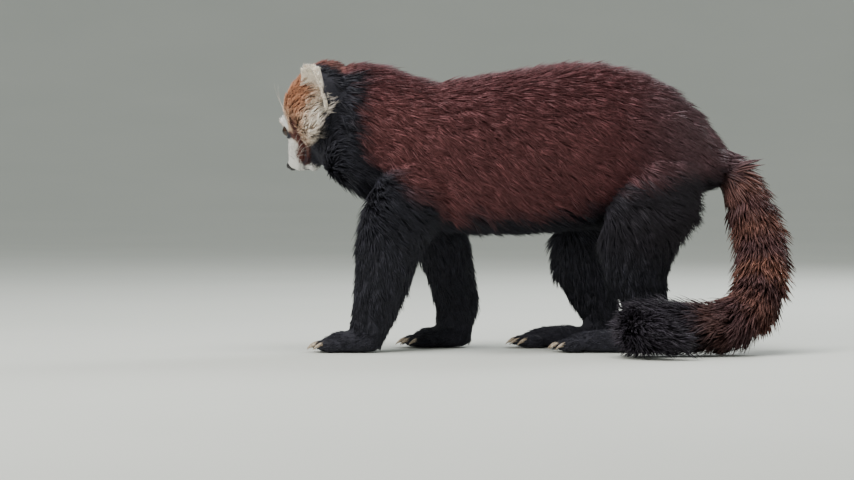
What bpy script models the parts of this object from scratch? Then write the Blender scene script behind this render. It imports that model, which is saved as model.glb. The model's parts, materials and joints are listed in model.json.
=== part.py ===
"""A life-size still model of a walking red panda, head lowered, made for a museum floor.

Metres, +Z up. The animal faces -X, its left side is -Y, and its soles lie on the plane Z = 0.
The body is modelled whole from lofted forms, made one skin, and parted with thin plane cuts.
"""

import math
import random

import bmesh
import bpy
import numpy as np
from mathutils import Matrix, Vector
from mathutils.bvhtree import BVHTree

# Driving sizes of the whole animal
GAP = 0.0003
FLOOR_Z = 0.0
BODY_VOXEL = 0.0050
VOXEL = 0.0032
BIG = 2.0

# Trunk and neck: (x, top z, bottom z, half width, coat depth), from the throat to the tail root
TRUNK = [
    (-0.206, 0.294, 0.216, 0.030, 0.008),
    (-0.190, 0.314, 0.192, 0.044, 0.010),
    (-0.166, 0.321, 0.176, 0.052, 0.014),
    (-0.138, 0.319, 0.160, 0.058, 0.018),
    (-0.110, 0.311, 0.141, 0.065, 0.020),
    (-0.077, 0.302, 0.128, 0.072, 0.022),
    (-0.033, 0.306, 0.122, 0.078, 0.022),
    (0.011, 0.313, 0.121, 0.082, 0.022),
    (0.055, 0.320, 0.123, 0.084, 0.022),
    (0.099, 0.322, 0.128, 0.083, 0.022),
    (0.143, 0.314, 0.138, 0.078, 0.022),
    (0.176, 0.299, 0.150, 0.070, 0.020),
    (0.206, 0.275, 0.164, 0.058, 0.018),
    (0.228, 0.247, 0.176, 0.042, 0.014),
    (0.242, 0.226, 0.186, 0.024, 0.010),
]

# Head: pose, then rings (nose-ward a, top b, bottom b, half width) about the middle of the braincase
HEAD_CENTRE = Vector((-0.1920, 0.0, 0.2687))
HEAD_PITCH = math.radians(55)
HEAD_YAW = math.radians(28)
HEAD_SIZE = 0.95
HEAD_RINGS = [
    (-0.044, 0.026, -0.016, 0.020),
    (-0.036, 0.036, -0.028, 0.036),
    (-0.020, 0.043, -0.037, 0.048),
    (0.000, 0.045, -0.042, 0.055),
    (0.015, 0.044, -0.042, 0.056),
    (0.028, 0.040, -0.040, 0.050),
    (0.040, 0.033, -0.036, 0.038),
    (0.050, 0.024, -0.033, 0.030),
    (0.060, 0.017, -0.031, 0.0255),
    (0.070, 0.011, -0.028, 0.0220),
    (0.078, 0.006, -0.024, 0.0175),
    (0.083, -0.001, -0.018, 0.0110),
]
# Soft lumps of the face: (a, lateral, b, radius along a, lateral radius, radius along b)
CHEEK = (0.010, 0.040, -0.016, 0.027, 0.020, 0.023)
BROW = (0.036, 0.020, 0.025, 0.012, 0.011, 0.0055)
WHISKER_PAD = (0.066, 0.010, -0.010, 0.015, 0.011, 0.011)
CHIN = (0.062, 0.000, -0.028, 0.013, 0.011, 0.007)
EYE_PLACE = (0.0440, 0.0225, 0.0130)
EYE_RADIUS = 0.0072
EYE_LOOK = Vector((0.62, 0.66, 0.42))
LID_RING = 0.0074
LID_ROLL = 0.0023
NOSE_PLACE = (0.0825, 0.0, -0.0035)
NOSE_RADII = (0.0065, 0.0088, 0.0058)
NOSTRIL = (0.0885, 0.0036, -0.0045)
NOSTRIL_RADII = (0.0026, 0.0016, 0.0013)
MOUTH_LINE = [(0.0800, 0.0000, -0.0205), (0.0770, 0.0100, -0.0215), (0.0690, 0.0185, -0.0235),
              (0.0590, 0.0235, -0.0225), (0.0500, 0.0275, -0.0180), (0.0440, 0.0320, -0.0125)]
MOUTH_GROOVE = 0.0008
LIP_ROLL = 0.0014

# Ears: base and tip in the head's own axes, for the animal's left ear
EAR_BASE = (-0.006, 0.036, 0.000)
EAR_TIP = (-0.055, 0.084, 0.000)
EAR_WIDTH = 0.058
EAR_CUP = 0.015
EAR_WALL = 0.0032
EAR_FACING = Vector((0.69, 0.66, 0.29))

# Legs: (x, y, z, half depth along x, half width along y), shoulder or hip first; y is for the left side
FORE_NEAR = [
    (-0.082, 0.026, 0.240, 0.028, 0.018),
    (-0.094, 0.040, 0.200, 0.046, 0.030),
    (-0.110, 0.047, 0.155, 0.047, 0.036),
    (-0.121, 0.050, 0.115, 0.043, 0.033),
    (-0.128, 0.051, 0.078, 0.036, 0.029),
    (-0.136, 0.051, 0.046, 0.030, 0.026),
    (-0.144, 0.051, 0.022, 0.027, 0.026),
    (-0.148, 0.051, 0.006, 0.024, 0.024),
]
FORE_FAR = [
    (-0.086, 0.026, 0.240, 0.028, 0.018),
    (-0.090, 0.040, 0.200, 0.046, 0.030),
    (-0.082, 0.047, 0.155, 0.046, 0.036),
    (-0.066, 0.050, 0.115, 0.039, 0.033),
    (-0.053, 0.051, 0.078, 0.032, 0.029),
    (-0.047, 0.051, 0.046, 0.028, 0.026),
    (-0.050, 0.051, 0.022, 0.026, 0.026),
    (-0.052, 0.051, 0.006, 0.024, 0.024),
]
HIND_NEAR = [
    (0.160, 0.024, 0.252, 0.030, 0.020),
    (0.165, 0.040, 0.205, 0.052, 0.036),
    (0.162, 0.048, 0.160, 0.056, 0.041),
    (0.150, 0.050, 0.120, 0.050, 0.037),
    (0.147, 0.051, 0.086, 0.040, 0.031),
    (0.156, 0.051, 0.055, 0.030, 0.026),
    (0.160, 0.051, 0.030, 0.026, 0.024),
    (0.154, 0.051, 0.008, 0.026, 0.024),
]
HIND_FAR = [
    (0.160, 0.024, 0.252, 0.030, 0.020),
    (0.156, 0.040, 0.205, 0.052, 0.036),
    (0.132, 0.048, 0.160, 0.056, 0.041),
    (0.102, 0.050, 0.120, 0.050, 0.037),
    (0.094, 0.051, 0.086, 0.042, 0.031),
    (0.105, 0.051, 0.055, 0.032, 0.026),
    (0.115, 0.051, 0.030, 0.026, 0.024),
    (0.110, 0.051, 0.008, 0.025, 0.024),
]
# Paws: (heel x, toe root x, half width, toe-in angle in degrees)
FORE_PAW_NEAR = (-0.140, -0.180, 0.024, 8)
FORE_PAW_FAR = (-0.042, -0.084, 0.024, 8)
HIND_PAW_NEAR = (0.152, 0.082, 0.023, 6)
HIND_PAW_FAR = (0.108, 0.038, 0.023, 6)
PAW_LINE_Y = 0.051
PAW_HEIGHT = 0.026
TOES = 5
TOE_RADII = (0.0140, 0.0068, 0.0085)
CLAW_LENGTH = 0.0125
CLAW_RADIUS = 0.0021
# Claw stations: (share of length, drop as a share of length, share of radius)
CLAW_STATIONS = [(-0.35, 0.0, 1.0), (0.30, 0.02, 0.95), (0.70, 0.20, 0.66), (1.0, 0.46, 0.16)]

# Tail: the line it follows from inside the rump to the tip, and its radius with coat at each point
TAIL_LINE = [(0.205, 0.0, 0.222), (0.243, -0.002, 0.203), (0.270, -0.018, 0.163), (0.283, -0.048, 0.112),
             (0.276, -0.083, 0.066), (0.248, -0.112, 0.039), (0.208, -0.126, 0.033), (0.172, -0.132, 0.033),
             (0.150, -0.146, 0.032), (0.147, -0.170, 0.030), (0.164, -0.194, 0.026), (0.186, -0.205, 0.020)]
TAIL_RADII = [0.028, 0.030, 0.032, 0.034, 0.035, 0.035, 0.034, 0.034, 0.033, 0.030, 0.022, 0.009]
TAIL_PARTS = [0.6, 3.6, 6.0, 8.0, 11.0]
TAIL_SEAT = 1.25
TAIL_SEAT_REACH = 0.043
TAIL_STEPS = 5
TAIL_SIDES = 10

# Locks of the long coat: (share of length, width share, thickness share), then a tip
CORE_SHARE = 0.5
LOCK_STATIONS = [(0.0, 0.46, 1.0), (0.36, 1.00, 1.0), (0.74, 0.66, 0.62)]
LOCK_ROOT = 0.0040
LOCK_RISE = 0.62
LOCK_STRETCH = 1.5
LOCK_CLEAR = 0.0004
LOCK_TRIES = (1.0, 0.84, 0.68, 0.52)
SEED = 7
BODY_LOCK = {"rows": 9, "first_x": -0.112, "pitch": 0.0410, "around": 15, "length": 0.084,
             "thickness": 0.0036, "widest": 0.036, "droop": 0.50}
NECK_LOCK_X = (-0.1500, 0.169)
TAIL_LOCK = {"first": 0.009, "pitch": 0.0350, "around": 7, "length": 0.066,
             "thickness": 0.0034, "widest": 0.026}
RUFF_LOCKS = [(0.034, (92, 112, 132), 0.032, 0.006), (0.016, (102, 122, 140), 0.036, 0.009),
              (-0.002, (112, 132), 0.034, 0.010)]
RUFF_HEADING = (-0.75, 0.30, -0.30)
HEAD_LOCK_THICKNESS = 0.0028
HEAD_LOCK_WIDTH = 0.015

# Planes that part the body
LEG_CUT_Z = 0.117
HEAD_CUT = (Vector((-0.1660, 0.0, 0.250)), Vector((-0.930, 0.370, 0.030)))
NECK_CUT = (Vector((-0.1300, 0.0, 0.255)), Vector((-0.949, 0.0, 0.316)))

# Triangles wanted in each part
TRIANGLES = {"head": 1450, "neck": 240, "torso": 950, "leg": 330}

SKIN_COLOURS = {
    "red_coat": (0.150, 0.035, 0.030, 1.0),
    "dark_coat": (0.018, 0.016, 0.020, 1.0),
    "face_coat": (0.420, 0.190, 0.100, 1.0),
    "tail_coat": (0.110, 0.035, 0.030, 1.0),
    "ear_coat": (0.560, 0.460, 0.360, 1.0),
    "eye": (0.020, 0.012, 0.008, 1.0),
    "nose": (0.012, 0.011, 0.012, 1.0),
}
ROUGHNESS = {"eye": 0.08, "nose": 0.45}


def clear_scene():
    for thing in list(bpy.data.objects):
        bpy.data.objects.remove(thing)


def new_collection(name, shown=True):
    made = bpy.data.collections.new(name)
    bpy.context.scene.collection.children.link(made)
    made.hide_render = not shown
    return made


def mesh_object(name, points, faces, collection):
    mesh = bpy.data.meshes.new(name)
    mesh.from_pydata([tuple(p) for p in points], [], faces)
    mesh.validate()
    thing = bpy.data.objects.new(name, mesh)
    collection.objects.link(thing)
    return thing


def coat_material(name):
    made = bpy.data.materials.new(name)
    made.use_nodes = True
    shader = made.node_tree.nodes["Principled BSDF"]
    shader.inputs["Base Color"].default_value = SKIN_COLOURS[name]
    shader.inputs["Roughness"].default_value = ROUGHNESS.get(name, 0.85)
    shader.inputs["Metallic"].default_value = 0.0
    return made


def loft(name, rings, collection):
    """A closed skin over rings of equal count, with a fan to the middle of each end ring."""
    count = len(rings[0])
    points = [p for ring in rings for p in ring]
    faces = []
    for r in range(len(rings) - 1):
        for i in range(count):
            j = (i + 1) % count
            faces.append((r * count + i, r * count + j, (r + 1) * count + j, (r + 1) * count + i))
    for ring, first, turn in ((rings[0], 0, -1), (rings[-1], (len(rings) - 1) * count, 1)):
        middle = sum((Vector(p) for p in ring), Vector()) / count
        points.append(middle)
        for i in range(count):
            j = (i + 1) % count
            edge = (first + i, first + j) if turn > 0 else (first + j, first + i)
            faces.append((*edge, len(points) - 1))
    made = mesh_object(name, points, faces, collection)
    face_out(made.data)
    return made


def face_out(mesh):
    work = bmesh.new()
    work.from_mesh(mesh)
    bmesh.ops.recalc_face_normals(work, faces=work.faces)
    work.to_mesh(mesh)
    work.free()


def squared_circle(angle, power=2.3):
    """A point on a slightly squared unit circle, as a furred trunk's section is."""
    c, s = math.cos(angle), math.sin(angle)
    reach = (abs(c) ** power + abs(s) ** power) ** (-1 / power)
    return reach * c, reach * s


def ellipsoid(name, centre, axes, radii, collection, segments=20, rings=12):
    """An ellipsoid whose radii lie along the three columns of axes."""
    work = bmesh.new()
    bmesh.ops.create_uvsphere(work, u_segments=segments, v_segments=rings, radius=1.0)
    mesh = bpy.data.meshes.new(name)
    work.to_mesh(mesh)
    work.free()
    scale = Matrix.Diagonal((*radii, 1.0))
    mesh.transform(Matrix.Translation(centre) @ axes.to_4x4() @ scale)
    thing = bpy.data.objects.new(name, mesh)
    collection.objects.link(thing)
    return thing


def head_axes():
    """Columns: towards the nose, towards the animal's left, towards the crown."""
    nose = Vector((-math.cos(HEAD_PITCH), 0.0, -math.sin(HEAD_PITCH)))
    left = Vector((0.0, -1.0, 0.0))
    crown = nose.cross(left)
    level = Matrix((nose, left, crown)).transposed()
    return Matrix.Rotation(-HEAD_YAW, 3, "Z") @ level


def head_point(a, lateral, b):
    return HEAD_CENTRE + head_axes() @ Vector((a, lateral, b)) * HEAD_SIZE


def curve_point(points, at):
    """A point on the smooth curve through points, at is a whole number on each of them."""
    last = len(points) - 1
    i = min(int(at), last - 1)
    t = at - i
    p0, p1, p2, p3 = (np.array(points[min(max(k, 0), last)], float) for k in (i - 1, i, i + 1, i + 2))
    return 0.5 * (2 * p1 + (p2 - p0) * t + (2 * p0 - 5 * p1 + 4 * p2 - p3) * t * t
                  + (3 * p1 - p0 - 3 * p2 + p3) * t ** 3)


def trunk_form(collection, sides=28):
    rings = []
    for x, top, bottom, half, coat in TRUNK:
        middle, rise = (top + bottom) / 2, (top - bottom) / 2 - coat * CORE_SHARE
        half -= coat * CORE_SHARE
        ring = [squared_circle(2 * math.pi * i / sides) for i in range(sides)]
        rings.append([(x, half * u, middle + rise * v) for u, v in ring])
    return loft("trunk_form", rings, collection)


def head_forms(collection, sides=24):
    rings = []
    for a, top, bottom, half in HEAD_RINGS:
        middle, rise = (top + bottom) / 2, (top - bottom) / 2
        turn = [squared_circle(2 * math.pi * i / sides, 2.15) for i in range(sides)]
        rings.append([head_point(a, half * u, middle + rise * v) for u, v in turn])
    loft("head_form", rings, collection)
    for lump in (CHEEK, BROW, WHISKER_PAD, CHIN):
        a, lateral, b = lump[:3]
        radii = tuple(r * HEAD_SIZE for r in lump[3:])
        for side in (1, -1) if lateral else (1,):
            ellipsoid("lump_form", head_point(a, side * lateral, b), head_axes(), radii, collection)


def leg_form(stations, side, collection, sides=20):
    """A leg of level rings. side is -1 for the animal's left."""
    rings = []
    for x, y, z, depth, width in stations:
        ring = [squared_circle(2 * math.pi * i / sides, 2.1) for i in range(sides)]
        rings.append([(x + depth * u, side * y + width * v, z) for u, v in ring])
    loft("leg_form", rings, collection)


def paw_forms(paw, side, collection):
    """The palm or sole of a paw, and its five toes."""
    heel, toe_root, half, toe_in = paw
    turn = Matrix.Rotation(math.radians(side * toe_in), 3, "Z")
    middle = Vector(((heel + toe_root) / 2, side * PAW_LINE_Y, PAW_HEIGHT * 0.40))
    length = (heel - toe_root) / 2 + 0.014
    ellipsoid("palm_form", middle, turn, (length, half, PAW_HEIGHT * 0.56), collection)
    for place, direction in toe_places(paw, side):
        across = Vector((-direction.y, direction.x, 0.0))
        axes = Matrix((direction, across, Vector((0, 0, 1)))).transposed()
        ellipsoid("toe_form", place, axes, TOE_RADII, collection, 14, 9)


def toe_places(paw, side):
    """(middle, direction) of each toe, fanned about the paw's own line."""
    heel, toe_root, half, toe_in = paw
    turn = Matrix.Rotation(math.radians(side * toe_in), 3, "Z")
    middle = Vector(((heel + toe_root) / 2, side * PAW_LINE_Y, 0.0))
    found = []
    for i in range(TOES):
        share = i / (TOES - 1) * 2 - 1
        reach = (toe_root - middle.x) - 0.010 * (1 - share * share)
        local = Vector((reach, share * half * 0.80, TOE_RADII[2] * 0.86))
        direction = Vector((-1.0, share * 0.22, 0.0)).normalized()
        found.append((middle + turn @ local, turn @ direction))
    return found


def claw_rings(place, direction, sides=5):
    """A claw that leaves a toe's end and curves down to its tip just above the floor."""
    start = place + direction * (TOE_RADII[0] * 0.72) + Vector((0, 0, 0.0015))
    across = Vector((-direction.y, direction.x, 0.0))
    rings = []
    for step, (along, drop, size) in enumerate(CLAW_STATIONS):
        middle = start + direction * (CLAW_LENGTH * along) - Vector((0, 0, CLAW_LENGTH * drop))
        slope = Vector((0, 0, 1)) if step == 0 else (Vector((0, 0, 1)) + direction * drop).normalized()
        ring = []
        for i in range(sides):
            angle = 2 * math.pi * i / sides
            ring.append(middle + across * (CLAW_RADIUS * 0.8 * size * math.cos(angle))
                        + slope * (CLAW_RADIUS * 1.25 * size * math.sin(angle)))
        rings.append(ring)
    return rings


def tail_frame(at):
    """Middle, way along, way across, way over and outer radius of the tail at a place on its line."""
    middle = Vector(curve_point(TAIL_LINE, at))
    ahead = Vector(curve_point(TAIL_LINE, min(at + 0.02, len(TAIL_LINE) - 1)))
    behind = Vector(curve_point(TAIL_LINE, max(at - 0.02, 0)))
    along = (ahead - behind).normalized()
    across = along.cross(Vector((0, 0, 1))).normalized()
    radius = float(curve_point([(r,) for r in TAIL_RADII], at)[0])
    return middle, along, across, across.cross(along), radius


def coat_of_tail(at):
    """How deep the locks are over the tail's core, less towards the tip."""
    return float(np.interp(at, [0.0, 1.2, 9.0, 11.0], [0.010, 0.011, 0.011, 0.007]))


def tail_rings(start, end, steps):
    """Rings of the tail's core square to its line, between two places on it."""
    rings = []
    for k in range(steps + 1):
        at = start + (end - start) * k / steps
        middle, _, across, over, radius = tail_frame(at)
        radius = max(radius - coat_of_tail(at), 0.002)
        ring = []
        for i in range(TAIL_SIDES):
            angle = 2 * math.pi * i / TAIL_SIDES
            ring.append(middle + across * (radius * math.cos(angle)) + over * (radius * math.sin(angle)))
        rings.append(ring)
    return rings


def lock(path, outward, widths, thickness, collection):
    """A flat tapered lock: rings of four corners along a bent path, closed to a point at its tip."""
    points, faces = [], []
    for k, (_, wide, thick) in enumerate(LOCK_STATIONS):
        along = (path[k + 1] - path[max(k - 1, 0)]).normalized()
        across = along.cross(outward[k]).normalized()
        over = across.cross(along).normalized()
        half, rise = widths[k] * wide / 2, thickness * thick / 2
        ring = (path[k] + across * half, path[k] + over * rise,
                path[k] - across * half, path[k] - over * rise)
        for point in ring:
            point.z = max(point.z, FLOOR_Z + 0.0005)
            points.append(point)
    tip = path[-1].copy()
    tip.z = max(tip.z, FLOOR_Z + 0.0008)
    points.append(tip)
    for r in range(len(LOCK_STATIONS) - 1):
        for i in range(4):
            j = (i + 1) % 4
            faces.append((4 * r + i, 4 * r + j, 4 * r + 4 + j))
            faces.append((4 * r + i, 4 * r + 4 + j, 4 * r + 4 + i))
    last = 4 * (len(LOCK_STATIONS) - 1)
    for i in range(4):
        faces.append((last + i, last + (i + 1) % 4, last + 4))
    faces.append((0, 3, 2))
    faces.append((0, 2, 1))
    made = mesh_object("lock", points, faces, collection)
    face_out(made.data)
    return made


def laid_lock(place, length, reach, widest, thickness, collection):
    """A lock along the lie of the coat. place(distance) gives skin point, way out and room beside it."""
    path, outward, widths = [], [], []
    for share in [station[0] for station in LOCK_STATIONS] + [1.0]:
        found = place(length * share)
        if found is None:
            return None
        point, out, room = found
        height = -LOCK_ROOT + (reach + LOCK_ROOT) * share ** LOCK_RISE
        path.append(point + out * height)
        if len(path) > 1 and (path[-1] - path[-2]).length > LOCK_STRETCH * length * (share - last_share):
            return None
        last_share = share
        outward.append(out)
        widths.append(min(room * 0.92, widest))
    return lock(path, outward, widths, thickness, collection)


def crosses(thing, trees):
    points = [v.co for v in thing.data.vertices]
    tree = BVHTree.FromPolygons(points, [f.vertices for f in thing.data.polygons])
    return any(tree.overlap(other) for other in trees)


def clear_lock(place, length, reach, widest, thickness, trees, collection):
    """The longest lock of a few lengths that keeps clear of every other node."""
    for share in LOCK_TRIES:
        swollen = (widest + 2 * LOCK_CLEAR, thickness + 2 * LOCK_CLEAR)
        wide = laid_lock(place, length * share, reach, *swollen, collection)
        if wide is None:
            continue
        blocked = crosses(wide, trees)
        bpy.data.objects.remove(wide)
        if not blocked:
            return laid_lock(place, length * share, reach, widest, thickness, collection)
    return None


def tree_of(thing):
    mesh = thing.data
    return BVHTree.FromPolygons([v.co for v in mesh.vertices], [f.vertices for f in mesh.polygons])


def trunk_middle(x):
    stations = [station[0] for station in TRUNK]
    return Vector((x, 0.0, float(np.interp(x, stations, [(t + b) / 2 for _, t, b, _, _ in TRUNK]))))


def trunk_coat(x):
    return float(np.interp(x, [station[0] for station in TRUNK], [station[4] for station in TRUNK]))


def trunk_skin(tree, x, angle):
    """Where the skin is at x and an angle about the trunk's middle, 0 at the back, growing to the right."""
    out = Vector((0.0, math.sin(angle), math.cos(angle)))
    start = trunk_middle(x) + out * 0.25
    place, normal, _, _ = tree.ray_cast(start, -out)
    if place is None or place.z < LEG_CUT_Z + 0.005:
        return None
    return place, (normal + out * 0.8).normalized()


def body_locks(tree, row, others, draw, collection):
    """One ring of locks about the trunk, sloped as the shoulder is, laid back and down the flank."""
    spec = BODY_LOCK
    step = 2 * math.pi / spec["around"]
    for i in range(spec["around"]):
        angle0 = (i + 0.5 * (row % 2) - spec["around"] / 2 + 0.25) * step
        length = spec["length"] * draw.uniform(0.88, 1.1)
        middle = trunk_middle(spec["first_x"] + spec["pitch"] * row)
        if row < 0:
            start, slope = NECK_LOCK_X
            length *= 0.70
        else:
            start = spec["first_x"] + spec["pitch"] * row
            slope = 0.333 * max(0.0, 1 - row / 4)
        height = middle.z + 0.08 * math.cos(angle0)
        x0 = start + slope * (height - 0.255) + draw.uniform(-0.002, 0.002)
        droop = spec["droop"] * math.sin(abs(angle0)) * math.copysign(1.0, angle0)

        def place(distance):
            x = min(x0 + distance * 0.9, 0.262)
            angle = angle0 + droop * distance / 0.08
            found = trunk_skin(tree, min(x, 0.240), angle)
            beside = [trunk_skin(tree, min(x, 0.240), angle + turn * step / 2) for turn in (-1, 1)]
            if found is None or None in beside:
                return None
            room = (beside[0][0] - beside[1][0]).length
            point = found[0] + Vector((max(x - 0.240, 0.0), 0.0, -max(x - 0.240, 0.0)))
            return point, found[1], room

        reach = trunk_coat(x0) * CORE_SHARE * draw.uniform(0.92, 1.06)
        clear_lock(place, length, reach, spec["widest"], spec["thickness"], others, collection)


def walk(tree, start, heading, distance):
    """The place reached, and its way out, after going a distance over a skin from start."""
    place, normal, _, _ = tree.find_nearest(start)
    steps = max(1, int(distance / 0.004))
    for _ in range(steps if distance > 0 else 0):
        along = (heading - normal * heading.dot(normal)).normalized()
        place, normal, _, _ = tree.find_nearest(place + along * (distance / steps))
    return place, normal


def head_locks(tree, others, draw, collection):
    """Locks of the cheek ruff, laid over the skin from the face towards the nape."""
    for a0, angles, length0, reach in RUFF_LOCKS:
        for degrees in angles:
            for side in (1, -1):
                angle = side * math.radians(degrees + draw.uniform(-2, 2))
                length = length0 * draw.uniform(0.9, 1.1)
                out = head_axes() @ Vector((0.0, math.sin(angle), math.cos(angle)))
                hit, _, _, _ = tree.ray_cast(head_point(a0, 0.0, 0.0) + out * 0.085, -out)
                if hit is None or (hit - head_point(a0, 0.0, 0.0)).dot(out) < 0:
                    continue
                way = head_axes() @ Vector((RUFF_HEADING[0], side * RUFF_HEADING[1], RUFF_HEADING[2]))

                def place(distance):
                    point, normal = walk(tree, hit, way, distance)
                    return point, (normal + out * 0.15).normalized(), HEAD_LOCK_WIDTH / 0.92

                clear_lock(place, length, reach, HEAD_LOCK_WIDTH, HEAD_LOCK_THICKNESS, others, collection)


def tail_lengths():
    """How far along the tail's line each of many even steps of its count lies."""
    steps = np.linspace(0, len(TAIL_LINE) - 1, 400)
    points = np.array([curve_point(TAIL_LINE, at) for at in steps])
    gone = np.concatenate([[0.0], np.cumsum(np.linalg.norm(np.diff(points, axis=0), axis=1))])
    return steps, gone


def tail_locks(index, others, draw, collection):
    """Rings of locks about one length of the tail, laid towards its tip."""
    steps, gone = tail_lengths()
    spec = TAIL_LOCK
    start = float(np.interp(max(TAIL_PARTS[index], TAIL_SEAT), steps, gone))
    end = float(np.interp(TAIL_PARTS[index + 1], steps, gone))
    total = gone[-1]
    seat = float(np.interp(TAIL_SEAT, steps, gone))
    turn = 2 * math.pi / spec["around"]
    for row in range(40):
        root = seat + spec["first"] + spec["pitch"] * row
        if root < start or root >= end or root > total - 0.012:
            continue
        root = min(max(root, start + 0.007), end - 0.005)
        for i in range(spec["around"]):
            angle = (i + 0.5 * (row % 2)) * turn
            length = spec["length"] * draw.uniform(0.9, 1.1)

            def place(distance):
                along_line = root + distance
                past = max(along_line - (total - 0.004), 0.0)
                at = float(np.interp(along_line - past, gone, steps))
                middle, along, across, over, radius = tail_frame(at)
                out = across * math.cos(angle) + over * math.sin(angle)
                thin = max(1 - past / 0.030, 0.10)
                core = max(radius - coat_of_tail(at), 0.0015)
                point = middle + along * past + out * core * thin
                point.z = max(point.z, FLOOR_Z + 0.0030)
                return point, out, turn * (core + coat_of_tail(at) * 0.5)

            at_root = float(np.interp(root, gone, steps))
            reach = coat_of_tail(at_root) * draw.uniform(0.92, 1.05)
            clear_lock(place, length, reach, spec["widest"], spec["thickness"], others, collection)


def joined(things, name, collection):
    """One mesh object holding the meshes of all things, which are removed."""
    work = bmesh.new()
    for thing in things:
        work.from_mesh(thing.data)
    mesh = bpy.data.meshes.new(name)
    work.to_mesh(mesh)
    work.free()
    for thing in things:
        bpy.data.objects.remove(thing)
    made = bpy.data.objects.new(name, mesh)
    collection.objects.link(made)
    return made


def apply_modifiers(thing):
    """The object's mesh as its modifiers make it, with the modifiers gone."""
    graph = bpy.context.evaluated_depsgraph_get()
    mesh = bpy.data.meshes.new_from_object(thing.evaluated_get(graph), depsgraph=graph)
    thing.modifiers.clear()
    thing.data = mesh
    return thing


def one_skin(thing, voxel, rounds):
    """Fuses overlapping closed forms into one smooth skin."""
    remesh = thing.modifiers.new("fuse", "REMESH")
    remesh.mode = "VOXEL"
    remesh.voxel_size = voxel
    smooth = thing.modifiers.new("soften", "SMOOTH")
    smooth.factor = 0.5
    smooth.iterations = rounds
    return apply_modifiers(thing)


def is_closed(mesh):
    work = bmesh.new()
    work.from_mesh(mesh)
    sound = len(work.faces) > 0 and all(len(edge.link_faces) == 2 for edge in work.edges)
    work.free()
    return sound


def tidy(mesh):
    work = bmesh.new()
    work.from_mesh(mesh)
    bmesh.ops.remove_doubles(work, verts=work.verts, dist=0.00002)
    bmesh.ops.dissolve_degenerate(work, edges=work.edges, dist=0.00001)
    bmesh.ops.triangulate(work, faces=work.faces, quad_method="FIXED")
    work.to_mesh(mesh)
    work.free()


def boolean(thing, other, operation):
    """A Boolean with the EXACT solver, or with MANIFOLD where that leaves the skin open."""
    before = thing.data
    for solver in ("EXACT", "MANIFOLD"):
        thing.data = before.copy()
        cut = thing.modifiers.new("cut", "BOOLEAN")
        cut.operation = operation
        cut.solver = solver
        if isinstance(other, bpy.types.Collection):
            cut.operand_type = "COLLECTION"
            cut.collection = other
        else:
            cut.object = other
        apply_modifiers(thing)
        if is_closed(thing.data):
            break
    tidied = thing.data.copy()
    tidy(tidied)
    if is_closed(tidied):
        thing.data = tidied
    return thing


def box_between(low, high, collection):
    work = bmesh.new()
    bmesh.ops.create_cube(work, size=1.0)
    mesh = bpy.data.meshes.new("region")
    work.to_mesh(mesh)
    work.free()
    low, high = Vector(low), Vector(high)
    mesh.transform(Matrix.Translation((low + high) / 2) @ Matrix.Diagonal((*(high - low), 1.0)))
    made = bpy.data.objects.new("region", mesh)
    collection.objects.link(made)
    return made


def half_space(point, normal, collection):
    """A large box whose one face passes through point, on the side that normal points to."""
    work = bmesh.new()
    bmesh.ops.create_cube(work, size=BIG)
    mesh = bpy.data.meshes.new("half_space")
    work.to_mesh(mesh)
    work.free()
    mesh.transform(Matrix.Translation((0, 0, BIG / 2)))
    turn = Vector((0, 0, 1)).rotation_difference(Vector(normal)).to_matrix().to_4x4()
    mesh.transform(Matrix.Translation(point) @ turn)
    made = bpy.data.objects.new("half_space", mesh)
    collection.objects.link(made)
    return made


def keep(thing, cutters):
    """Trims thing to what lies inside every cutter, then removes the cutters."""
    for cutter in cutters:
        boolean(thing, cutter, "INTERSECT")
        bpy.data.objects.remove(cutter)
    return thing


def keep_largest(thing):
    """Drops every closed surface of the mesh but the one with the largest box, also where two
    surfaces touch at one point."""
    work = bmesh.new()
    work.from_mesh(thing.data)
    left = set(work.faces)
    islands = []
    while left:
        todo = [left.pop()]
        island = []
        while todo:
            face = todo.pop()
            island.append(face)
            for edge in face.edges:
                for other in edge.link_faces:
                    if other in left:
                        left.remove(other)
                        todo.append(other)
        points = np.array([vertex.co for face in island for vertex in face.verts])
        islands.append((float(np.prod(np.ptp(points, axis=0))), island))
    islands.sort(key=lambda found: found[0])
    for _, island in islands[:-1]:
        bmesh.ops.delete(work, geom=island, context="FACES")
    work.to_mesh(thing.data)
    work.free()
    return thing


def copy_of(thing, name, collection):
    made = bpy.data.objects.new(name, thing.data.copy())
    collection.objects.link(made)
    return made


def thin_to(thing, triangles):
    work = bmesh.new()
    work.from_mesh(thing.data)
    bmesh.ops.triangulate(work, faces=work.faces)
    work.to_mesh(thing.data)
    count = len(work.faces)
    work.free()
    if count > triangles:
        fewer = thing.modifiers.new("fewer", "DECIMATE")
        fewer.ratio = triangles / count
        apply_modifiers(thing)
    return thing


def swollen(thing, by, collection):
    """A copy of thing whose skin stands out by a small distance, for cutting its seat in a neighbour."""
    made = copy_of(thing, "seat", collection)
    grow = made.modifiers.new("grow", "DISPLACE")
    grow.strength = by
    grow.mid_level = 0.0
    return apply_modifiers(made)


def body_skin(helpers):
    """Trunk, legs and the tail's root fused and softened, then the head and paws fused on."""
    legs = ((FORE_NEAR, FORE_PAW_NEAR, -1), (FORE_FAR, FORE_PAW_FAR, 1),
            (HIND_NEAR, HIND_PAW_NEAR, -1), (HIND_FAR, HIND_PAW_FAR, 1))
    forms = new_collection("forms", False)
    trunk_form(forms)
    for stations, _, side in legs:
        leg_form(stations, side, forms)
    loft("tail_root_form", tail_rings(0.0, 1.9, 5), forms)
    trunk = one_skin(joined(list(forms.objects), "trunk", helpers), BODY_VOXEL, 10)
    head_forms(forms)
    for _, paw, side in legs:
        paw_forms(paw, side, forms)
    whole = joined([trunk, *forms.objects], "whole", helpers)
    bpy.data.collections.remove(forms)
    return one_skin(whole, VOXEL, 5)


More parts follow.
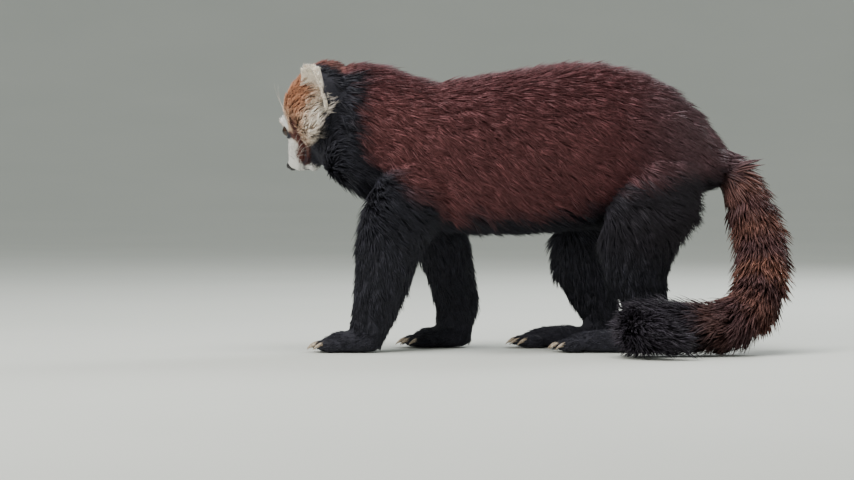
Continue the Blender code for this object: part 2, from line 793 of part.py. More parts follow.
def body_part(whole, name, regions, triangles, helpers, nodes):
    """The stretch of the body inside regions: cut with room to spare, thinned, then cut true."""
    part = copy_of(whole, name, helpers)
    keep(part, [make(0.004) for make in regions])
    keep_largest(part)
    thin_to(part, triangles)
    keep(part, [make(-GAP / 2) for make in regions])
    keep_largest(part)
    helpers.objects.unlink(part)
    nodes.objects.link(part)
    return part


def beyond(plane, helpers, sign=1):
    """A maker of the half space on one side of plane, spread past it by what it is called with."""
    point, normal = plane
    side = normal.normalized() * sign
    return lambda spread: half_space(point - side * spread, side, helpers)


def within(low, high, helpers):
    """A maker of a box that spreads on every side but the floor by what it is called with."""
    def make(spread):
        room = Vector((spread, spread, spread))
        bottom = Vector(low) - room
        bottom.z = low[2]
        return box_between(bottom, Vector(high) + room, helpers)
    return make


def leg_part(whole, name, stations, paw, side, limits, helpers, nodes):
    front, rear, outer = limits
    inner = 0.0
    low_y, high_y = sorted((side * inner, side * outer))
    regions = [within((front, low_y, FLOOR_Z), (rear, high_y, LEG_CUT_Z), helpers)]
    leg = body_part(whole, name, regions, TRIANGLES["leg"], helpers, nodes)
    claws = new_collection("claws", False)
    for place, direction in toe_places(paw, side):
        loft("claw", claw_rings(place, direction), claws)
    fuse(leg, claws)
    return leg


def fuse(thing, pieces):
    """Joins every object of a collection to thing, removes them, and keeps the one closed body."""
    boolean(thing, pieces, "UNION")
    for piece in list(pieces.objects):
        bpy.data.objects.remove(piece)
    bpy.data.collections.remove(pieces)
    keep_largest(thing)
    return thing


def ear(name, side, nodes, grow=0.0):
    """A cupped ear: a leaf-shaped sheet with a wall. grow swells it for its seat."""
    base = Vector(EAR_BASE)
    tip = Vector(EAR_TIP)
    up = (tip - base).normalized()
    facing = (EAR_FACING - up * EAR_FACING.dot(up)).normalized()
    across = up.cross(facing)
    length = (tip - base).length
    rows, columns = 7, 6
    points, faces = [], []
    for r in range(rows + 1):
        u = r / rows
        swell = 0.70 + 0.42 * math.sin(math.pi * min(u * 1.15, 1.0))
        half = EAR_WIDTH / 2 * swell * math.sqrt(max(1 - u ** 3.2, 0.012))
        depth = EAR_CUP * (1 - 0.55 * u)
        along = up * (length * (u - 0.10) - (grow if r == 0 else 0))
        for c in range(columns + 1):
            v = (c / columns * 2 - 1) * (1 + grow / half)
            place = base + along + across * (half * v) - facing * (depth * (1 - v * v))
            points.append(head_point(place.x, side * place.y, place.z))
    for r in range(rows):
        for c in range(columns):
            i = r * (columns + 1) + c
            faces.append((i, i + 1, i + columns + 2, i + columns + 1))
    made = mesh_object(name, points, faces, nodes)
    wall = made.modifiers.new("wall", "SOLIDIFY")
    wall.thickness = EAR_WALL + 2 * grow
    wall.offset = 0.0
    apply_modifiers(made)
    face_out(made.data)
    tidy(made.data)
    return made


def eye(name, side, nodes):
    a, lateral, b = EYE_PLACE
    return ellipsoid(name, head_point(a, side * lateral, b), head_axes(), (EYE_RADIUS,) * 3, nodes, 14, 8)


def lid(side, pieces):
    """The rolled rim of the lids round an eye, as a torus squashed to an almond."""
    a, lateral, b = EYE_PLACE
    look = Vector((EYE_LOOK.x, side * EYE_LOOK.y, EYE_LOOK.z)).normalized()
    look = head_axes() @ look
    centre = head_point(a, side * lateral, b) + look * (EYE_RADIUS * 0.30)
    along = (head_axes() @ Vector((0.8, -side * 0.6, 0.0)))
    along = (along - look * along.dot(look)).normalized()
    over = look.cross(along)
    major, minor = 14, 5
    points, faces = [], []
    for i in range(major):
        angle = 2 * math.pi * i / major
        out = along * (1.06 * math.cos(angle)) + over * (0.88 * math.sin(angle))
        for j in range(minor):
            turn = 2 * math.pi * j / minor
            roll = out * (LID_RING + LID_ROLL * math.cos(turn)) + look * (LID_ROLL * math.sin(turn))
            points.append(centre + roll)
    for i in range(major):
        for j in range(minor):
            a0, a1 = i * minor + j, i * minor + (j + 1) % minor
            b0, b1 = ((i + 1) % major) * minor + j, ((i + 1) % major) * minor + (j + 1) % minor
            faces.append((a0, b0, b1, a1))
    made = mesh_object("lid", points, faces, pieces)
    face_out(made.data)


def tube_along(name, points, radius, collection, sides=6):
    """A closed tube of small radius through points."""
    rings = []
    for k, point in enumerate(points):
        ahead = points[min(k + 1, len(points) - 1)]
        behind = points[max(k - 1, 0)]
        along = (ahead - behind).normalized()
        across = along.cross(Vector((0, 0, 1))).normalized()
        over = across.cross(along)
        size = radius * (0.45 if k in (0, len(points) - 1) else 1.0)
        rings.append([point + across * (size * math.cos(2 * math.pi * i / sides))
                      + over * (size * math.sin(2 * math.pi * i / sides)) for i in range(sides)])
    return loft(name, rings, collection)


def on_skin(tree, point):
    """The nearest place on a skin, and the way out of it."""
    place, normal, _, _ = tree.find_nearest(point)
    return place, normal


def mouth_path(tree):
    """The line of the mouth laid on the muzzle's skin, from one corner to the other."""
    half = [on_skin(tree, head_point(*p))[0] for p in MOUTH_LINE]
    other = [on_skin(tree, head_point(a, -lateral, b))[0] for a, lateral, b in MOUTH_LINE]
    return list(reversed(other[1:])) + half


def finish_head(head, neck, helpers, nodes):
    """Adds lids and lips, cuts the mouth, then seats the eyes, nose and ears. The far ear is laid
    back against the turned neck, so the neck is cut clear of it too."""
    tree = BVHTree.FromObject(head, bpy.context.evaluated_depsgraph_get())
    path = mouth_path(tree)
    pieces = new_collection("face_pieces", False)
    for side in (1, -1):
        lid(side, pieces)
    lift = head_axes() @ Vector((0.0, 0.0, 0.0017))
    tube_along("lip", [p + lift for p in path], LIP_ROLL, pieces)
    fuse(head, pieces)
    groove = tube_along("mouth_groove", path, MOUTH_GROOVE, helpers)
    boolean(head, groove, "DIFFERENCE")
    bpy.data.objects.remove(groove)
    nose = ellipsoid("nose", head_point(*NOSE_PLACE), head_axes(), NOSE_RADII, nodes, 14, 8)
    eyes = [eye("eye_left", 1, nodes), eye("eye_right", -1, nodes)]
    seats = [swollen(thing, GAP * 1.3, helpers) for thing in (nose, *eyes)]
    seats += [ear("seat", side, helpers, GAP) for side in (1, -1)]
    for seat in seats:
        boolean(head, seat, "DIFFERENCE")
        if seat.name.startswith("seat"):
            boolean(neck, seat, "DIFFERENCE")
        bpy.data.objects.remove(seat)
    keep_largest(neck)
    for side in (1, -1):
        a, lateral, b = NOSTRIL
        middle = head_point(a, side * lateral, b)
        hole = ellipsoid("nostril", middle, head_axes(), NOSTRIL_RADII, helpers, 10, 6)
        boolean(nose, hole, "DIFFERENCE")
        bpy.data.objects.remove(hole)
    keep_largest(head)
    return nose, eyes


def tail_plane():
    """The plane square to the tail's line where the tail meets the rump."""
    middle = Vector(curve_point(TAIL_LINE, TAIL_SEAT))
    ahead, behind = (Vector(curve_point(TAIL_LINE, TAIL_SEAT + step)) for step in (0.05, -0.05))
    along = ahead - behind
    return middle, along.normalized()


def tail_root_block(spread, helpers):
    """A block over the tail's root, from its seat outward, that leaves the thighs alone."""
    middle, along = tail_plane()
    reach = Vector((2 * TAIL_SEAT_REACH, 2 * TAIL_SEAT_REACH, 0.120))
    block = box_between(-reach / 2, reach / 2, helpers)
    turn = Vector((0, 0, 1)).rotation_difference(along).to_matrix().to_4x4()
    block.data.transform(Matrix.Translation(middle + along * (reach.z / 2 - spread)) @ turn)
    return block


def tail_part(index, nodes):
    start, end = TAIL_PARTS[index], TAIL_PARTS[index + 1]
    piece = loft(f"tail_{index + 1}", tail_rings(start, end, TAIL_STEPS), nodes)
    return piece


def trim_tail(parts, helpers):
    """Sets the tail's first length against the rump, gaps between lengths, and a flat underside."""
    for index, part in enumerate(parts):
        cutters = [box_between((-BIG, -BIG, FLOOR_Z), (BIG, BIG, BIG), helpers)]
        if index == 0:
            cutters.append(beyond(tail_plane(), helpers)(-GAP / 2))
        keep(part, cutters)


def dress(whole, head, neck, torso, tail, nodes):
    """Grows the locks on each node that has long coat, clear of every other node, and fuses them on."""
    skin = tree_of(whole)
    growers = [
        (head, lambda *given: head_locks(skin, *given)),
        (neck, lambda *given: body_locks(skin, -1, *given)),
        (torso, lambda *given: [body_locks(skin, row, *given) for row in range(BODY_LOCK["rows"])]),
    ]
    for index, part in enumerate(tail):
        growers.append((part, lambda *given, index=index: tail_locks(index, *given)))
    for part, grow in growers:
        others = [tree_of(thing) for thing in nodes.objects if thing is not part]
        locks = new_collection("locks", False)
        grow(others, random.Random(f"{part.name} {SEED}"), locks)
        fuse(part, locks)


def shade(thing, slot):
    thing.data.materials.clear()
    thing.data.materials.append(slot)
    thing.data.shade_smooth()
    thing.data.set_sharp_from_angle(angle=math.radians(50))


def centre_on_floor(nodes):
    """Moves every node alike, so that the origin is under the middle of the model's box."""
    corners = np.concatenate([[v.co for v in thing.data.vertices] for thing in nodes.objects])
    low, high = corners.min(0), corners.max(0)
    shift = Vector((-(low[0] + high[0]) / 2, -(low[1] + high[1]) / 2, -low[2]))
    for thing in nodes.objects:
        thing.data.transform(Matrix.Translation(shift))


def build():
    clear_scene()
    nodes = new_collection("red_panda")
    helpers = new_collection("helpers", False)
    whole = body_skin(helpers)
    over_legs = beyond((Vector((0, 0, LEG_CUT_Z)), Vector((0, 0, 1))), helpers)
    head = body_part(whole, "head", [beyond(HEAD_CUT, helpers)], TRIANGLES["head"], helpers, nodes)
    neck_regions = [beyond(HEAD_CUT, helpers, -1), beyond(NECK_CUT, helpers)]
    neck = body_part(whole, "neck", neck_regions, TRIANGLES["neck"], helpers, nodes)
    torso_regions = [beyond(NECK_CUT, helpers, -1), over_legs]
    torso = body_part(whole, "torso", torso_regions, TRIANGLES["torso"], helpers, nodes)
    block = tail_root_block(GAP / 2, helpers)
    boolean(torso, block, "DIFFERENCE")
    bpy.data.objects.remove(block)
    keep_largest(torso)
    legs = [
        leg_part(whole, "foreleg_left", FORE_NEAR, FORE_PAW_NEAR, -1, (-0.25, 0.0, 0.12), helpers, nodes),
        leg_part(whole, "foreleg_right", FORE_FAR, FORE_PAW_FAR, 1, (-0.25, 0.0, 0.12), helpers, nodes),
        leg_part(whole, "hindleg_left", HIND_NEAR, HIND_PAW_NEAR, -1, (0.02, 0.26, 0.12), helpers, nodes),
        leg_part(whole, "hindleg_right", HIND_FAR, HIND_PAW_FAR, 1, (0.02, 0.26, 0.12), helpers, nodes),
    ]
    ears = [ear("ear_left", 1, nodes), ear("ear_right", -1, nodes)]
    nose, eyes = finish_head(head, neck, helpers, nodes)
    tail = [tail_part(i, nodes) for i in range(len(TAIL_PARTS) - 1)]
    trim_tail(tail, helpers)
    dress(whole, head, neck, torso, tail, nodes)
    for thing in list(helpers.objects):
        bpy.data.objects.remove(thing)
    coats = {name: coat_material(name) for name in SKIN_COLOURS}
    for thing, slot in [(head, "face_coat"), (neck, "red_coat"), (torso, "red_coat"), (nose, "nose"),
                        *((leg, "dark_coat") for leg in legs), *((e, "ear_coat") for e in ears),
                        *((e, "eye") for e in eyes), *((t, "tail_coat") for t in tail)]:
        shade(thing, coats[slot])
    centre_on_floor(nodes)


build()
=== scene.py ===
# %% [markdown]
# A red panda walks with its head lowered and its tail curled round on the floor. This lesson dresses the
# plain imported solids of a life-size model with one skin, a coat of many small tufts, and the hard parts:
# eyes, nose, claws and whiskers. Everything is in metres, and the animal faces -X with its left side at -Y.

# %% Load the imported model
import json
import math

import bmesh
import bpy
import numpy as np
from mathutils import Matrix, Vector
from mathutils.bvhtree import BVHTree
from mathutils.kdtree import KDTree

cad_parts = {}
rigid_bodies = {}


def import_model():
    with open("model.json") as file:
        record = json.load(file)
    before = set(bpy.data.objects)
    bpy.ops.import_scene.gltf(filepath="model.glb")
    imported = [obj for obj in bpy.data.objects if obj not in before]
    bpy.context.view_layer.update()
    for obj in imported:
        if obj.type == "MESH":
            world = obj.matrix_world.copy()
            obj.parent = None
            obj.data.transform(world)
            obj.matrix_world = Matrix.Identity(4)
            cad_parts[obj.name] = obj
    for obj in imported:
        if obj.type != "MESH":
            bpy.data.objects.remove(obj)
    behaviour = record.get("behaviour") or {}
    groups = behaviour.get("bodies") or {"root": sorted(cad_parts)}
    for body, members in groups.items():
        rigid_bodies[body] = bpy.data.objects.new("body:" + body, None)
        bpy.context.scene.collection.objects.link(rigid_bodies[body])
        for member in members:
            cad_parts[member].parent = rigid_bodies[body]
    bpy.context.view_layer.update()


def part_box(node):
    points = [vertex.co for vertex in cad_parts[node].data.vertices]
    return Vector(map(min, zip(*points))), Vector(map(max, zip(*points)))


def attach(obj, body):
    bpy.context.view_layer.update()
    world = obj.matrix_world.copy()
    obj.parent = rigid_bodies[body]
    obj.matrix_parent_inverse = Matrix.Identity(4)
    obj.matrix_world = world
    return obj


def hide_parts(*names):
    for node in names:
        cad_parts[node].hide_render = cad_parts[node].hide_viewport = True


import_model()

# %% [markdown]
# The body's named sizes are the ones that the solids were built from. The trunk is a row of stations from the
# throat to the tail root, each with its top, bottom and half width out to the tips of the coat, and with the
# coat's own depth. The legs are stations too, and the tail is a line with a radius at each point. Repeating
# these sizes lets the skin lie under the coat at a known depth everywhere.

# %% Named sizes of the animal
TRUNK = [
    (-0.206, 0.294, 0.216, 0.030, 0.008), (-0.190, 0.314, 0.192, 0.044, 0.010),
    (-0.166, 0.321, 0.176, 0.052, 0.014), (-0.138, 0.319, 0.160, 0.058, 0.018),
    (-0.110, 0.311, 0.141, 0.065, 0.020), (-0.077, 0.302, 0.128, 0.072, 0.022),
    (-0.033, 0.306, 0.122, 0.078, 0.022), (0.011, 0.313, 0.121, 0.082, 0.022),
    (0.055, 0.320, 0.123, 0.084, 0.022), (0.099, 0.322, 0.128, 0.083, 0.022),
    (0.143, 0.314, 0.138, 0.078, 0.022), (0.176, 0.299, 0.150, 0.070, 0.020),
    (0.206, 0.275, 0.164, 0.058, 0.018), (0.228, 0.247, 0.176, 0.042, 0.014),
    (0.242, 0.226, 0.186, 0.024, 0.010),
]
HEAD_CENTRE = Vector((-0.1920, 0.0, 0.2687))
HEAD_PITCH, HEAD_YAW, HEAD_SIZE = math.radians(55), math.radians(28), 0.95
HEAD_RINGS = [
    (-0.044, 0.026, -0.016, 0.020), (-0.036, 0.036, -0.028, 0.036), (-0.020, 0.043, -0.037, 0.048),
    (0.000, 0.045, -0.042, 0.055), (0.015, 0.044, -0.042, 0.056), (0.028, 0.040, -0.040, 0.050),
    (0.040, 0.033, -0.036, 0.038), (0.050, 0.024, -0.033, 0.030), (0.060, 0.017, -0.031, 0.0255),
    (0.070, 0.011, -0.028, 0.0220), (0.078, 0.006, -0.024, 0.0175), (0.083, -0.001, -0.018, 0.0110),
]
CHEEK = (0.010, 0.040, -0.016, 0.027, 0.020, 0.023)
BROW = (0.036, 0.020, 0.025, 0.012, 0.011, 0.0055)
WHISKER_PAD = (0.066, 0.010, -0.010, 0.015, 0.011, 0.011)
CHIN = (0.062, 0.000, -0.028, 0.013, 0.011, 0.007)
EYE_PLACE, EYE_RADIUS = (0.0440, 0.0225, 0.0130), 0.0072
EYE_LOOK = Vector((0.62, 0.66, 0.42))
NOSE_PLACE, NOSE_RADII = (0.0825, 0.0, -0.0035), (0.0065, 0.0088, 0.0058)
EAR_BASE, EAR_TIP = Vector((-0.006, 0.036, 0.000)), Vector((-0.055, 0.084, 0.000))
EAR_WIDTH, EAR_CUP = 0.058, 0.015
EAR_FACING = Vector((0.69, 0.66, 0.29))
FORE_NEAR = [
    (-0.082, 0.026, 0.240, 0.028, 0.018), (-0.094, 0.040, 0.200, 0.046, 0.030),
    (-0.110, 0.047, 0.155, 0.047, 0.036), (-0.121, 0.050, 0.115, 0.043, 0.033),
    (-0.128, 0.051, 0.078, 0.036, 0.029), (-0.136, 0.051, 0.046, 0.030, 0.026),
    (-0.144, 0.051, 0.022, 0.027, 0.026), (-0.148, 0.051, 0.006, 0.024, 0.024),
]
FORE_FAR = [
    (-0.086, 0.026, 0.240, 0.028, 0.018), (-0.090, 0.040, 0.200, 0.046, 0.030),
    (-0.082, 0.047, 0.155, 0.046, 0.036), (-0.066, 0.050, 0.115, 0.039, 0.033),
    (-0.053, 0.051, 0.078, 0.032, 0.029), (-0.047, 0.051, 0.046, 0.028, 0.026),
    (-0.050, 0.051, 0.022, 0.026, 0.026), (-0.052, 0.051, 0.006, 0.024, 0.024),
]
HIND_NEAR = [
    (0.160, 0.024, 0.252, 0.030, 0.020), (0.165, 0.040, 0.205, 0.052, 0.036),
    (0.162, 0.048, 0.160, 0.056, 0.041), (0.150, 0.050, 0.120, 0.050, 0.037),
    (0.147, 0.051, 0.086, 0.040, 0.031), (0.156, 0.051, 0.055, 0.030, 0.026),
    (0.160, 0.051, 0.030, 0.026, 0.024), (0.154, 0.051, 0.008, 0.026, 0.024),
]
HIND_FAR = [
    (0.160, 0.024, 0.252, 0.030, 0.020), (0.156, 0.040, 0.205, 0.052, 0.036),
    (0.132, 0.048, 0.160, 0.056, 0.041), (0.102, 0.050, 0.120, 0.050, 0.037),
    (0.094, 0.051, 0.086, 0.042, 0.031), (0.105, 0.051, 0.055, 0.032, 0.026),
    (0.115, 0.051, 0.030, 0.026, 0.024), (0.110, 0.051, 0.008, 0.025, 0.024),
]
PAWS = [((-0.140, -0.180, 0.024, 8), -1), ((-0.042, -0.084, 0.024, 8), 1),
        ((0.152, 0.082, 0.023, 6), -1), ((0.108, 0.038, 0.023, 6), 1)]
LEGS = [(FORE_NEAR, -1), (FORE_FAR, 1), (HIND_NEAR, -1), (HIND_FAR, 1)]
PAW_LINE_Y, PAW_HEIGHT, TOES, TOE_RADII = 0.051, 0.026, 5, (0.0140, 0.0068, 0.0085)
CLAW_LENGTH = 0.0125
TAIL_LINE = [(0.205, 0.0, 0.222), (0.243, -0.002, 0.203), (0.270, -0.018, 0.163), (0.283, -0.048, 0.112),
             (0.276, -0.083, 0.066), (0.248, -0.112, 0.039), (0.208, -0.126, 0.033), (0.172, -0.132, 0.033),
             (0.150, -0.146, 0.032), (0.147, -0.170, 0.030), (0.164, -0.194, 0.026), (0.186, -0.205, 0.020)]
TAIL_RADII = [0.028, 0.030, 0.032, 0.034, 0.035, 0.035, 0.034, 0.034, 0.033, 0.030, 0.022, 0.009]

# How deep the skin lies under the tips of the coat: a share of its depth on the trunk, metres elsewhere
TRUNK_DEPTH, LEG_DEPTH, HEAD_DEPTH, TAIL_DEPTH, PAW_DEPTH = 0.50, 0.0055, 0.0032, 0.0175, 0.0022
VOXEL = 0.00236
FLOOR_GAP = 0.0012
print("trunk stations:", len(TRUNK), "tail points:", len(TAIL_LINE), "finest grain of the skin:", VOXEL)

# %% [markdown]
# The head has axes of its own: a towards the nose, lateral to the animal's left and b to the crown. In the
# photograph the nose points steeply down and a little away from the viewer, so one turn sets every part of
# the face at once. The near eye of the solids tells how far the whole model was moved to stand over its
# origin, and each point made here is moved by the same amount.

# %% Axes of the head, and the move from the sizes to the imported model


def head_axes():
    nose = Vector((-math.cos(HEAD_PITCH), 0.0, -math.sin(HEAD_PITCH)))
    left = Vector((0.0, -1.0, 0.0))
    level = Matrix((nose, left, nose.cross(left))).transposed()
    return Matrix.Rotation(-HEAD_YAW, 3, "Z") @ level


AXES = head_axes()


def head_point(a, lateral, b):
    return HEAD_CENTRE + AXES @ Vector((a, lateral, b)) * HEAD_SIZE


def eye_axis(side):
    """The middle of one eye, and the way it looks."""
    look = AXES @ Vector((EYE_LOOK.x, side * EYE_LOOK.y, EYE_LOOK.z)).normalized()
    return head_point(EYE_PLACE[0], side * EYE_PLACE[1], EYE_PLACE[2]), look


eye_low, eye_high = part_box("eye_left")
SHIFT = (eye_low + eye_high) / 2 - head_point(*EYE_PLACE)
print("move from sizes to model:", [round(v, 4) for v in SHIFT])

# %% [markdown]
# Helper tools follow. Forms that are still in work lie on a bench, a collection of their own. A loft closes
# a skin over rings of equal count, and an ellipsoid stands for each rounded lump. Fusing joins overlapping
# forms with a voxel remesh and softens the result, which a boolean would leave with a crease.

# %% Tools for forms
bench = bpy.data.collections.new("bench")
bpy.context.scene.collection.children.link(bench)


def on_bench(name, mesh):
    thing = bpy.data.objects.new(name, mesh)
    bench.objects.link(thing)
    return thing


def shown(name, mesh):
    made = bpy.data.objects.new(name, mesh)
    bpy.context.scene.collection.objects.link(made)
    return made


def finished_mesh(work, name):
    mesh = bpy.data.meshes.new(name)
    work.to_mesh(mesh)
    work.free()
    return mesh


def mesh_object(name, points, faces):
    mesh = bpy.data.meshes.new(name)
    mesh.from_pydata([tuple(p) for p in points], [], faces)
    work = bmesh.new()
    work.from_mesh(mesh)
    bmesh.ops.recalc_face_normals(work, faces=work.faces)
    work.to_mesh(mesh)
    work.free()
    return on_bench(name, mesh)


def loft(name, rings):
    count = len(rings[0])
    points = [p for ring in rings for p in ring]
    faces = []
    for first in range(0, (len(rings) - 1) * count, count):
        for i in range(count):
            j = (i + 1) % count
            faces.append((first + i, first + j, first + count + j, first + count + i))
    for ring, first in ((rings[0], 0), (rings[-1], (len(rings) - 1) * count)):
        points.append(sum((Vector(p) for p in ring), Vector()) / count)
        faces += [(first + i, first + (i + 1) % count, len(points) - 1) for i in range(count)]
    return mesh_object(name, points, faces)


def squared_ring(count, power=2.3):
    """Points on a ring of about unit size, which is a little squarer than a circle."""
    ring = []
    for i in range(count):
        c, s = math.cos(2 * math.pi * i / count), math.sin(2 * math.pi * i / count)
        reach = (abs(c) ** power + abs(s) ** power) ** (-1 / power)
        ring.append((reach * c, reach * s))
    return ring


def ellipsoid(name, centre, axes, radii):
    work = bmesh.new()
    bmesh.ops.create_uvsphere(work, u_segments=20, v_segments=12, radius=1.0)
    mesh = finished_mesh(work, name)
    mesh.transform(Matrix.Translation(centre) @ axes.to_4x4() @ Matrix.Diagonal((*radii, 1.0)))
    return on_bench(name, mesh)


def applied(thing):
    graph = bpy.context.evaluated_depsgraph_get()
    mesh = bpy.data.meshes.new_from_object(thing.evaluated_get(graph), depsgraph=graph)
    thing.modifiers.clear()
    thing.data = mesh
    return thing


def fused(things, name, voxel, rounds):
    work = bmesh.new()
    for thing in things:
        work.from_mesh(thing.data)
        bpy.data.objects.remove(thing)
    made = on_bench(name, finished_mesh(work, name))
    remesh = made.modifiers.new("fuse", "REMESH")
    remesh.mode, remesh.voxel_size = "VOXEL", voxel
    smooth = made.modifiers.new("soften", "SMOOTH")
    smooth.factor, smooth.iterations = 0.5, rounds
    return applied(made)


print("bench ready:", bench.name)

# %% [markdown]
# The tail's line is a smooth curve through a few points, and a small frame at each place on it says which
# way the tail runs. A paw has a turn of its own, since the toes point a little inwards, and its five toes
# fan out from it. Both the skin and the claws ask here where a toe is, so that they can't part.

# %% The tail's line and the toes' places


def curve_point(points, at):
    last = len(points) - 1
    i = min(int(at), last - 1)
    t = at - i
    p0, p1, p2, p3 = (np.array(points[min(max(k, 0), last)], float) for k in (i - 1, i, i + 1, i + 2))
    return 0.5 * (2 * p1 + (p2 - p0) * t + (2 * p0 - 5 * p1 + 4 * p2 - p3) * t * t
                  + (3 * p1 - p0 - 3 * p2 + p3) * t ** 3)


def tail_frame(at):
    middle = Vector(curve_point(TAIL_LINE, at))
    ahead = Vector(curve_point(TAIL_LINE, min(at + 0.02, len(TAIL_LINE) - 1)))
    behind = Vector(curve_point(TAIL_LINE, max(at - 0.02, 0)))
    along = (ahead - behind).normalized()
    across = along.cross(Vector((0, 0, 1))).normalized()
    radius = float(curve_point([(r,) for r in TAIL_RADII], at)[0])
    return middle, across, across.cross(along), radius


def paw_axes(paw, side, height):
    heel, toe_root, _, toe_in = paw
    turn = Matrix.Rotation(math.radians(side * toe_in), 3, "Z")
    return turn, Vector(((heel + toe_root) / 2, side * PAW_LINE_Y, height))


def toe_places(paw, side):
    _, toe_root, half, _ = paw
    turn, middle = paw_axes(paw, side, 0.0)
    found = []
    for i in range(TOES):
        share = i / (TOES - 1) * 2 - 1
        reach = (toe_root - middle.x) - 0.010 * (1 - share * share)
        local = Vector((reach, share * half * 0.80, TOE_RADII[2] * 0.86))
        direction = Vector((-1.0, share * 0.22, 0.0)).normalized()
        found.append((middle + turn @ local, turn @ direction))
    return found


print("tail ends at:", [round(v, 3) for v in TAIL_LINE[-1]], "toes on a paw:", TOES)

# %% [markdown]
# The skin is one piece from the nose to the tip of the tail, so no seam shows between the parts. On the
# real animal it is a loose hide under the fur. It could be made by sculpting, but building the same forms
# a coat's depth smaller and fusing them keeps it inside the solids on every side. The trunk, legs and tail
# are softened first, and the finer head, ears and paws are fused on after, so that the toes stay crisp.

# %% Fuse the trunk, legs and tail
BODY_VOXEL = 0.0045
forms = []
rings = []
for x, top, bottom, half, coat in TRUNK:
    middle, rise = (top + bottom) / 2, (top - bottom) / 2 - coat * TRUNK_DEPTH
    rings.append([(x, (half - coat * TRUNK_DEPTH) * u, middle + rise * v) for u, v in squared_ring(32)])
forms.append(loft("trunk_form", rings))
for stations, side in LEGS:
    rings = []
    for x, y, z, depth, width in stations:
        less = LEG_DEPTH + 0.004 * min(1.0, max(0.0, (z - 0.06) / 0.10))
        rings.append([(x + (depth - less) * u, side * y + (width - less) * v, z)
                      for u, v in squared_ring(20, 2.1)])
    forms.append(loft("leg_form", rings))
rings = []
for at in np.linspace(0.0, 11.0, 46):
    middle, across, over, radius = tail_frame(float(at))
    depth = TAIL_DEPTH * min(1.0, 0.45 + at * 0.3) * (1 - 0.35 * min(1.0, max(0.0, (at - 8.5) / 1.5)))
    radius = max(radius - depth, 0.0045)
    rings.append([middle + across * (radius * math.cos(2 * math.pi * i / 14))
                  + over * (radius * math.sin(2 * math.pi * i / 14)) for i in range(14)])
forms.append(loft("tail_form", rings))
body = fused(forms, "body_form", BODY_VOXEL, 8)
print("body faces:", len(body.data.polygons))

# %% [markdown]
# An ear is a thin cupped sheet that stands up from the side of the head and faces half forward. It is made
# flat as rows from its base to its rounded tip, pushed back in the middle for the cup, and given its wall
# by a Solidify modifier.

# %% The form of an ear


def ear_sheet(side, wall=0.0038):
    up = (EAR_TIP - EAR_BASE).normalized()
    facing = (EAR_FACING - up * EAR_FACING.dot(up)).normalized()
    across = up.cross(facing)
    length = (EAR_TIP - EAR_BASE).length
    rows, columns = 16, 12
    points, faces = [], []
    for r in range(rows + 1):
        u = r / rows
        swell = 0.70 + 0.42 * math.sin(math.pi * min(u * 1.15, 1.0))
        half = EAR_WIDTH / 2 * swell * math.sqrt(max(1 - u ** 3.2, 0.012))
        depth = EAR_CUP * (1 - 0.55 * u)
        for c in range(columns + 1):
            v = c / columns * 2 - 1
            place = EAR_BASE + up * (length * (u * 0.98 - 0.10)) + across * (half * v * 0.96)
            place -= facing * (depth * (1 - v * v))
            points.append(head_point(place.x, side * place.y, place.z))
    faces = [(i, i + 1, i + columns + 2, i + columns + 1)
             for r in range(rows) for i in range(r * (columns + 1), r * (columns + 1) + columns)]
    made = mesh_object("ear_form", points, faces)
    thick = made.modifiers.new("wall", "SOLIDIFY")
    thick.thickness, thick.offset = wall, 0.0
    applied(made)
    return made


print("ear length:", round((EAR_TIP - EAR_BASE).length, 3), "width:", EAR_WIDTH)

# %% [markdown]
# The head is a loft of rings along its own axis, with lumps for the cheeks, brows, whisker pads and chin.
# Each paw is a flat palm with five toes. They stay apart from the body until the last, finer fusing.

# %% The forms of the head, the paws and the ears
fine = [body]
rings = []
for a, top, bottom, half in HEAD_RINGS:
    middle, rise = (top + bottom) / 2, (top - bottom) / 2 - HEAD_DEPTH
    rings.append([head_point(a - 0.0015, (half - HEAD_DEPTH) * u, middle + rise * v)
                  for u, v in squared_ring(28, 2.15)])
fine.append(loft("head_form", rings))
for a, lateral, b, ra, rl, rb in (CHEEK, BROW, WHISKER_PAD, CHIN):
    less = 0.006 if lateral > 0.03 else 0.0022
    for side in (1, -1) if lateral else (1,):
        radii = tuple(radius * HEAD_SIZE - less for radius in (ra, rl, rb))
        fine.append(ellipsoid("lump", head_point(a, side * lateral, b), AXES, radii))
for paw, side in PAWS:
    heel, toe_root, half, _ = paw
    turn, middle = paw_axes(paw, side, PAW_HEIGHT * 0.40)
    radii = ((heel - toe_root) / 2 + 0.014 - PAW_DEPTH, half - PAW_DEPTH, PAW_HEIGHT * 0.56 - PAW_DEPTH * 0.5)
    fine.append(ellipsoid("palm", middle, turn, radii))
    for place, direction in toe_places(paw, side):
        across = Vector((-direction.y, direction.x, 0.0))
        axes = Matrix((direction, across, Vector((0, 0, 1)))).transposed()
        radii = (TOE_RADII[0] - 0.001, TOE_RADII[1] - 0.0008, TOE_RADII[2] - PAW_DEPTH * 0.6)
        fine.append(ellipsoid("toe", place, axes, radii))
for side in (1, -1):
    fine.append(ear_sheet(side))
print("forms beside the body:", len(fine) - 1)

# %% [markdown]
# The lids are one soft roll round each eye, wider than it is high. The nose pad sits in a shallow bed, which
# joins it to the muzzle. With these the forms are complete, and the finer voxel fuses them into one skin.
# Its lowest points are lifted just clear of the floor, because the solids' flats carry the model.

# %% Lids, the nose's bed, and the last fusing


